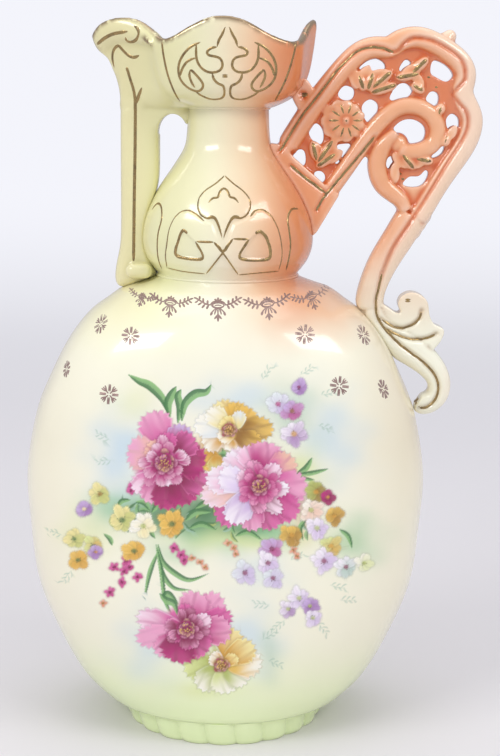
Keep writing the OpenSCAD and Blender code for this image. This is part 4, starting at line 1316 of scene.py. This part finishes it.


# Tones of the glazes, and of the shade painted on them
IVORY = (0.935, 0.912, 0.76)
WARM_IVORY = (0.928, 0.89, 0.67)
GREEN = (0.80, 0.93, 0.50)
LEMON = (0.86, 0.86, 0.45)
PEACH = (0.86, 0.49, 0.26)
CORAL = (0.70, 0.20, 0.06)
# Painted shade in the cup's hollows on its coral side
CORAL_HOLLOW_SHADE = (0.50, 0.10, 0.03)
BISQUE = (0.88, 0.80, 0.62)
STRAW_IVORY = (0.85, 0.79, 0.50)
# Painted shade towards the flask's left and right edges
EDGE_SHADE = (0.84, 0.74, 0.54)
# Painted warm shade down the flask's right side, away from the light
WARM_RIGHT_SHADE = (0.80, 0.64, 0.42)
# Painted shade at the sides of the flask's shoulders
SHOULDER_SHADE = (0.82, 0.62, 0.36)
DULL_LEMON = (0.76, 0.70, 0.40)
DEEP_LEMON = (0.72, 0.66, 0.36)
OLIVE_SHADE = (0.55, 0.50, 0.20)
WORN_GILT = (0.30, 0.20, 0.10)


def sprayed(finish, at, x, z):
    """The sprayed grounds: green at the foot, lemon on the left of the neck, coral on its right;
    with painted shade at the flask's edges, down its right side and at its shoulders.
    """
    cloud = finish.noise(at, 18.0, 4.0) - 0.5
    side = x + cloud * 0.012
    bent = x * x
    high = (z + cloud * 0.02 - bent * 1.4).ramp(0.155, 0.204)
    warm = (z + cloud * 0.02 - bent * 1.6).ramp(0.163, 0.205)
    tone = finish.mix(finish.noise(at, 9.0), IVORY, WARM_IVORY)
    for share, colour in (
            (0.9 * (1 - (z + cloud * 0.02).ramp(0.004, 0.055)), GREEN),
            (z.ramp(0.19, 0.23) * 0.5, STRAW_IVORY),
            (high * (1 - side.ramp(-0.034, 0.002)) * 0.9, LEMON),
            (warm * side.ramp(-0.01, 0.02) * 0.85, PEACH),
            (warm * side.ramp(0.008, 0.034) * 0.95, CORAL),
            (z.ramp(0.255, 0.272) * side.ramp(0.004, 0.03) * 0.6, CORAL),
            # painted shade towards the flask's left and right edges
            (bent.ramp(0.0018, 0.0062) * 0.3, EDGE_SHADE),
            # painted warm shade down the flask's right side, away from the light
            (side.ramp(0.04, 0.085) * z.ramp(0.08, 0.16) * 0.5, WARM_RIGHT_SHADE),
            # painted shade at the sides of the flask's shoulders
            (z.ramp(0.165, 0.2) * bent.ramp(0.0004, 0.002) * 0.35, SHOULDER_SHADE),
            (z.ramp(0.19, 0.21) * (1 - side.ramp(-0.028, 0.006)) * 0.35, DULL_LEMON),
            (z.ramp(0.25, 0.27) * (1 - side.ramp(-0.02, 0.01)) * 0.3, DEEP_LEMON)):
        tone = finish.mix(share, tone, colour)
    return tone


def glossy(finish, at, tone, rough=0.16, **more):
    """A fired glaze: hard, glossy, with the slight ripple of a dipped surface."""
    ripple = finish.noise(at, 55.0, 2.0)
    bump = finish.node("Bump", {"Height": ripple, "Distance": 0.0004, "Strength": 0.2})
    rough = finish.noise(at, 140.0, 3.0) * 0.08 + rough
    return finish.surface(**{
        "Base Color": tone, "Roughness": rough, "Normal": bump, "IOR": 1.5,
        "Coat Weight": 0.5, "Coat Roughness": 0.07, **more})


def body_glaze(name, with_paint=False, with_hollow_shade=False):
    """The glaze of flask, neck, foot and cup. The cup's has painted shade, deeper in tone, in its
    hollows; its rim is gilt.
    """
    finish = Finish(name)
    at, (x, _, z) = finish.place()
    tone = sprayed(finish, at, x, z)
    if with_hollow_shade:
        # Painted shade in the cup's hollows: rust red on its coral side, olive on its lemon side
        deep = finish.stored("hollows")
        warm = x.ramp(0.005, 0.035)
        tone = finish.mix(deep * warm * 0.7, tone, CORAL_HOLLOW_SHADE)
        tone = finish.mix(deep * (1 - warm) * 0.5, tone, OLIVE_SHADE)
        gilt = finish.stored("gilt") * finish.noise(at, 260.0, 4.0, 0.6).ramp(0.3, 0.5)
        tone = finish.mix(gilt, tone, WORN_GILT)
        return glossy(finish, at, tone, Metallic=gilt * 0.7)
    if with_paint:
        paint = finish.node("Attribute", {}, "Color", attribute_name="paint")
        cover = Value(finish, paint.socket.node.outputs["Alpha"])
        tone = finish.mix(cover, tone, paint)
    return glossy(finish, at, tone)


def handle_coral():
    """Coral at the top, paler outside and below, ivory at the tail, with painted highlights on the
    raised tops and painted shade, fiery above, in the hollows.
    """
    finish = Finish("coral handle glaze")
    at, (x, _, z) = finish.place()
    cloud = finish.noise(at, 40.0, 4.0) - 0.5
    near_root = (1 - (x + cloud * 0.01).ramp(0.03, 0.064)) * z.ramp(0.19, 0.2)
    pale = (1 - (z - x * 0.9 + cloud * 0.02).ramp(0.112, 0.175)) * 0.85
    tone = finish.mix((cloud + 0.5).ramp(0.3, 0.75), (0.86, 0.44, 0.235), (0.80, 0.35, 0.16))
    for share, colour in (
            (near_root * 0.65, (0.78, 0.27, 0.10)), (pale, (0.92, 0.71, 0.53)),
            (1 - (z + cloud * 0.01).ramp(0.176, 0.215), BISQUE),
            (1 - (z + cloud * 0.006).ramp(0.168, 0.19), (0.91, 0.89, 0.72)),
            (finish.stored("band") * z.ramp(0.17, 0.2) * 0.7, (0.86, 0.68, 0.50)),
            # painted highlight: pale peach on the raised tops of the rails and scrolls
            (finish.stored("crown_highlight") * z.ramp(0.185, 0.21) * 0.45, (0.97, 0.66, 0.50)),
            ((x + cloud * 0.01).ramp(0.088, 0.102) * 0.6, (0.93, 0.70, 0.53))):
        tone = finish.mix(share, tone, colour)
    # Painted shade in the hollows: greyish on the ivory tail, fiery coral above
    fiery = finish.mix(z.ramp(0.17, 0.22), (0.62, 0.52, 0.36), (0.66, 0.13, 0.03))
    tone = finish.mix(finish.stored("hollows"), tone, fiery)
    return glossy(finish, at, tone, 0.07)


def gilding(name, bright, dull, metal):
    """The gold or the brown of a thin raised line, worn dull in places."""
    finish = Finish(name)
    at, _ = finish.place()
    wear = finish.noise(at, 420.0, 5.0, 0.7).ramp(0.42, 0.68)
    tone = finish.mix(wear, bright, dull)
    rough = wear * 0.25 + 0.24
    return finish.surface(**{"Base Color": tone, "Roughness": rough,
                             "Metallic": (1 - wear * 0.6) * metal})


def dress(obj, material, slot, *nodes):
    """Gives a piece its material and the CAD nodes that it stands for. The slot is not used."""
    obj.data.materials.clear()
    obj.data.materials.append(material)
    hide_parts(*nodes)
    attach(obj, "root")


flask_glaze = body_glaze("painted ivory glaze", with_paint=True)
neck_glaze = body_glaze("sprayed neck glaze")
cup_glaze = body_glaze("sprayed cup glaze", with_hollow_shade=True)
handle_glaze = handle_coral()
dress(flask, flask_glaze, "cream_glaze", "flask_body")
dress(neck, neck_glaze, "neck_glaze", "neck_bulb", "neck_relief_front", "neck_relief_back",
      "neck_relief_sides")
dress(foot, neck_glaze, "green_glaze", "foot_ring")
dress(cup, cup_glaze, "cup_glaze", "mouth_cup", "spout_strut", "strut_knuckle", "spout_lip",
      "mouth_relief_front", "mouth_relief_back")
dress(handle, handle_glaze, "coral_glaze", "handle_root", "handle_bridge", "handle_outer_rail",
      "handle_inner_rail", "handle_c_scroll", "handle_knob", "fret_panel", "fret_flower",
      "fret_leaves", "handle_stem", "handle_leaf", "handle_tail")

gold = gilding("worn gold", (0.40, 0.28, 0.12), (0.17, 0.115, 0.05), 0.8)
brown = gilding("mauve brown transfer", (0.34, 0.23, 0.20), (0.26, 0.17, 0.15), 0.3)
on_body = Line(flask, neck, cup, handle)
on_body.lay("neck_gilding", "neck_glaze", gold, [
    SPADE[:9], [SPADE[8]] + SPADE[9:] + [SPADE[0]], SPADE_INNER, BOOT_LEFT[:9],
    [BOOT_LEFT[0], BOOT_LEFT[12], BOOT_LEFT[11]], [BOOT_LEFT[11], BOOT_LEFT[10], STEM_RIGHT],
    WINDOW_LEFT, [BOOT_RIGHT[8], BOOT_RIGHT[9], STEM_LEFT], BOOT_RIGHT[:8],
    [BOOT_RIGHT[7], BOOT_RIGHT[8]], WINDOW_RIGHT, [STEM_LEFT, WINDOW_LEFT[0]],
    [STEM_RIGHT, WINDOW_RIGHT[0]], SIDE_STRAP, RIGHT_STRAP,
], radius=0.8, sunk=0.61)
cup_lines = [CUP_CRESCENT, CUP_CRESCENT_INNER, CUP_LEAF, CUP_SCROLL, CUP_SPEAR, CUP_FOOT]
cup_lines += [mirrored(line, CUP_MIDDLE) for line in cup_lines]
on_body.lay("cup_gilding", "cup_glaze", gold, cup_lines + [KEEL_LEFT, KEEL_RIGHT],
            radius=0.85, sunk=0.65)
on_body.lay("spout_gilding", "yellow_glaze", gold,
            [LIP_LINE, LIP_CURL, LIP_UNDER, STRUT_LINE, STRUT_BRANCH], radius=1.1, sunk=0.85)
on_body.lay("handle_gilding", "coral_glaze", gold, [OUTER_RAIL, INNER_RAIL, FRET_BASE],
            radius=1.5, sunk=1.2)
petal_veins = [[FLOWER_AT + reach * toward(2 * math.pi * k / PETALS) for reach in (7, 17)]
               for k in range(PETALS)]
dots = [[(x - 1.6, y), (x, y), (x + 1.6, y)] for x, y in GOLD_DOTS]
spots = [[(x - 2.8, y + up), (x, y + up), (x + 2.8, y + up)]
         for x, y in GOLD_SPOTS for up in (-0.9, 0.9)]
on_body.lay("sprig_gilding", "gilt_coral_glaze", gold, FRET_LEAVES + petal_veins + dots + spots,
            radius=1.0, sunk=0.68, taper=0.3)
on_body.lay("tail_gilding", "ivory_glaze", gold, [TAIL_LINE, LEAF_LINE, LOBE_LINE, TAIL_CURL],
            radius=1.2, sunk=0.9, taper=0.4)
on_body.lay("transfers", "cream_glaze", brown, TRANSFERS, radius=0.85, sunk=0.71, taper=0.1)


# Studio

def make_backdrop():
    """A pale paper that runs from under the ewer to a curve and up behind it."""
    piece = sheet("backdrop", (2, 60))
    uv = vertex_uv(piece.data)
    length, width, front = 5.2, 7, -1.4
    flat, bend = 2.6, 1.4
    run = uv[:, 1] * length
    turn = np.clip((run - flat) / bend, 0, math.pi / 2)
    y = front + np.minimum(run, flat) + bend * np.sin(turn)
    z = bend * (1 - np.cos(turn)) + np.maximum(run - flat - bend * math.pi / 2, 0)
    set_corners(piece.data, np.stack([(uv[:, 0] - 0.5) * width, y, z], axis=1))
    shade(piece)
    finish = Finish("pale paper")
    at, (_, depth, height) = finish.place()
    tone = finish.mix(finish.noise(at, 3.0), (0.74, 0.715, 0.72), (0.77, 0.745, 0.75))
    paper = finish.node("BsdfDiffuse", {"Color": tone})
    glow = finish.node("Emission", {"Color": (0.905, 0.91, 0.97)})
    seen = finish.node("LightPath", {}, "Is Camera Ray")
    mixer = finish.node("MixShader", {
        0: seen * (height + depth * 0.35).ramp(0.0, 0.75), 1: paper, 2: glow})
    finish.links.new(mixer.socket, finish.output.inputs[0])
    piece.data.materials.append(finish.material)


def make_world():
    """Even light from all sides. What the camera sees of it is a little greyer."""
    world = bpy.data.worlds.new("soft studio")
    bpy.context.scene.world = world
    world.use_nodes = True
    nodes, links = world.node_tree.nodes, world.node_tree.links
    nodes.clear()
    out = nodes.new("ShaderNodeOutputWorld")
    path = nodes.new("ShaderNodeLightPath")
    mixer = nodes.new("ShaderNodeMixShader")
    links.new(path.outputs["Is Camera Ray"], mixer.inputs[0])
    links.new(mixer.outputs[0], out.inputs[0])
    cast, seen = ((0.90, 0.92, 1.0, 1), 0.69), ((0.86, 0.86, 0.92, 1), 1.0)
    for k, values in enumerate((cast, seen)):
        ground = nodes.new("ShaderNodeBackground")
        ground.inputs[0].default_value, ground.inputs[1].default_value = values
        links.new(ground.outputs[0], mixer.inputs[k + 1])


def add_lamp(name, at, aim_z, size, power):
    """A lamp that faces the ewer's middle at a height."""
    light = bpy.data.lights.new(name, "AREA")
    light.shape = "RECTANGLE"
    light.size, light.size_y = size
    light.energy = power
    lamp = added(name, light)
    lamp.location = at
    aim = Vector((0, 0, aim_z))
    lamp.rotation_euler = (aim - Vector(at)).to_track_quat("-Z", "Y").to_euler()


def make_camera():
    """The photograph's camera."""
    data = bpy.data.cameras.new("camera")
    data.sensor_width = SENSOR
    data.lens = FOCAL * SENSOR / PHOTO_H
    data.clip_start = 0.01
    camera = added("camera", data)
    camera.location = CAM_AT * MM
    turn = np.eye(4)
    turn[:3, 0], turn[:3, 1], turn[:3, 2] = RIGHT, UP, -FORWARD
    camera.rotation_euler = Matrix(turn.tolist()).to_euler()
    bpy.context.scene.camera = camera


make_backdrop()
make_world()
make_camera()
add_lamp("window_left", (-0.75, -0.7, 0.95), aim_z=0.2, size=(0.7, 0.28), power=5.3)
add_lamp("window_right", (0.75, -0.6, 0.95), aim_z=0.2, size=(0.7, 0.28), power=3.9)
add_lamp("overhead", (0, 0.1, 1.2), aim_z=0.1, size=(0.9, 0.9), power=3)
bpy.context.scene.view_settings.view_transform = "Standard"
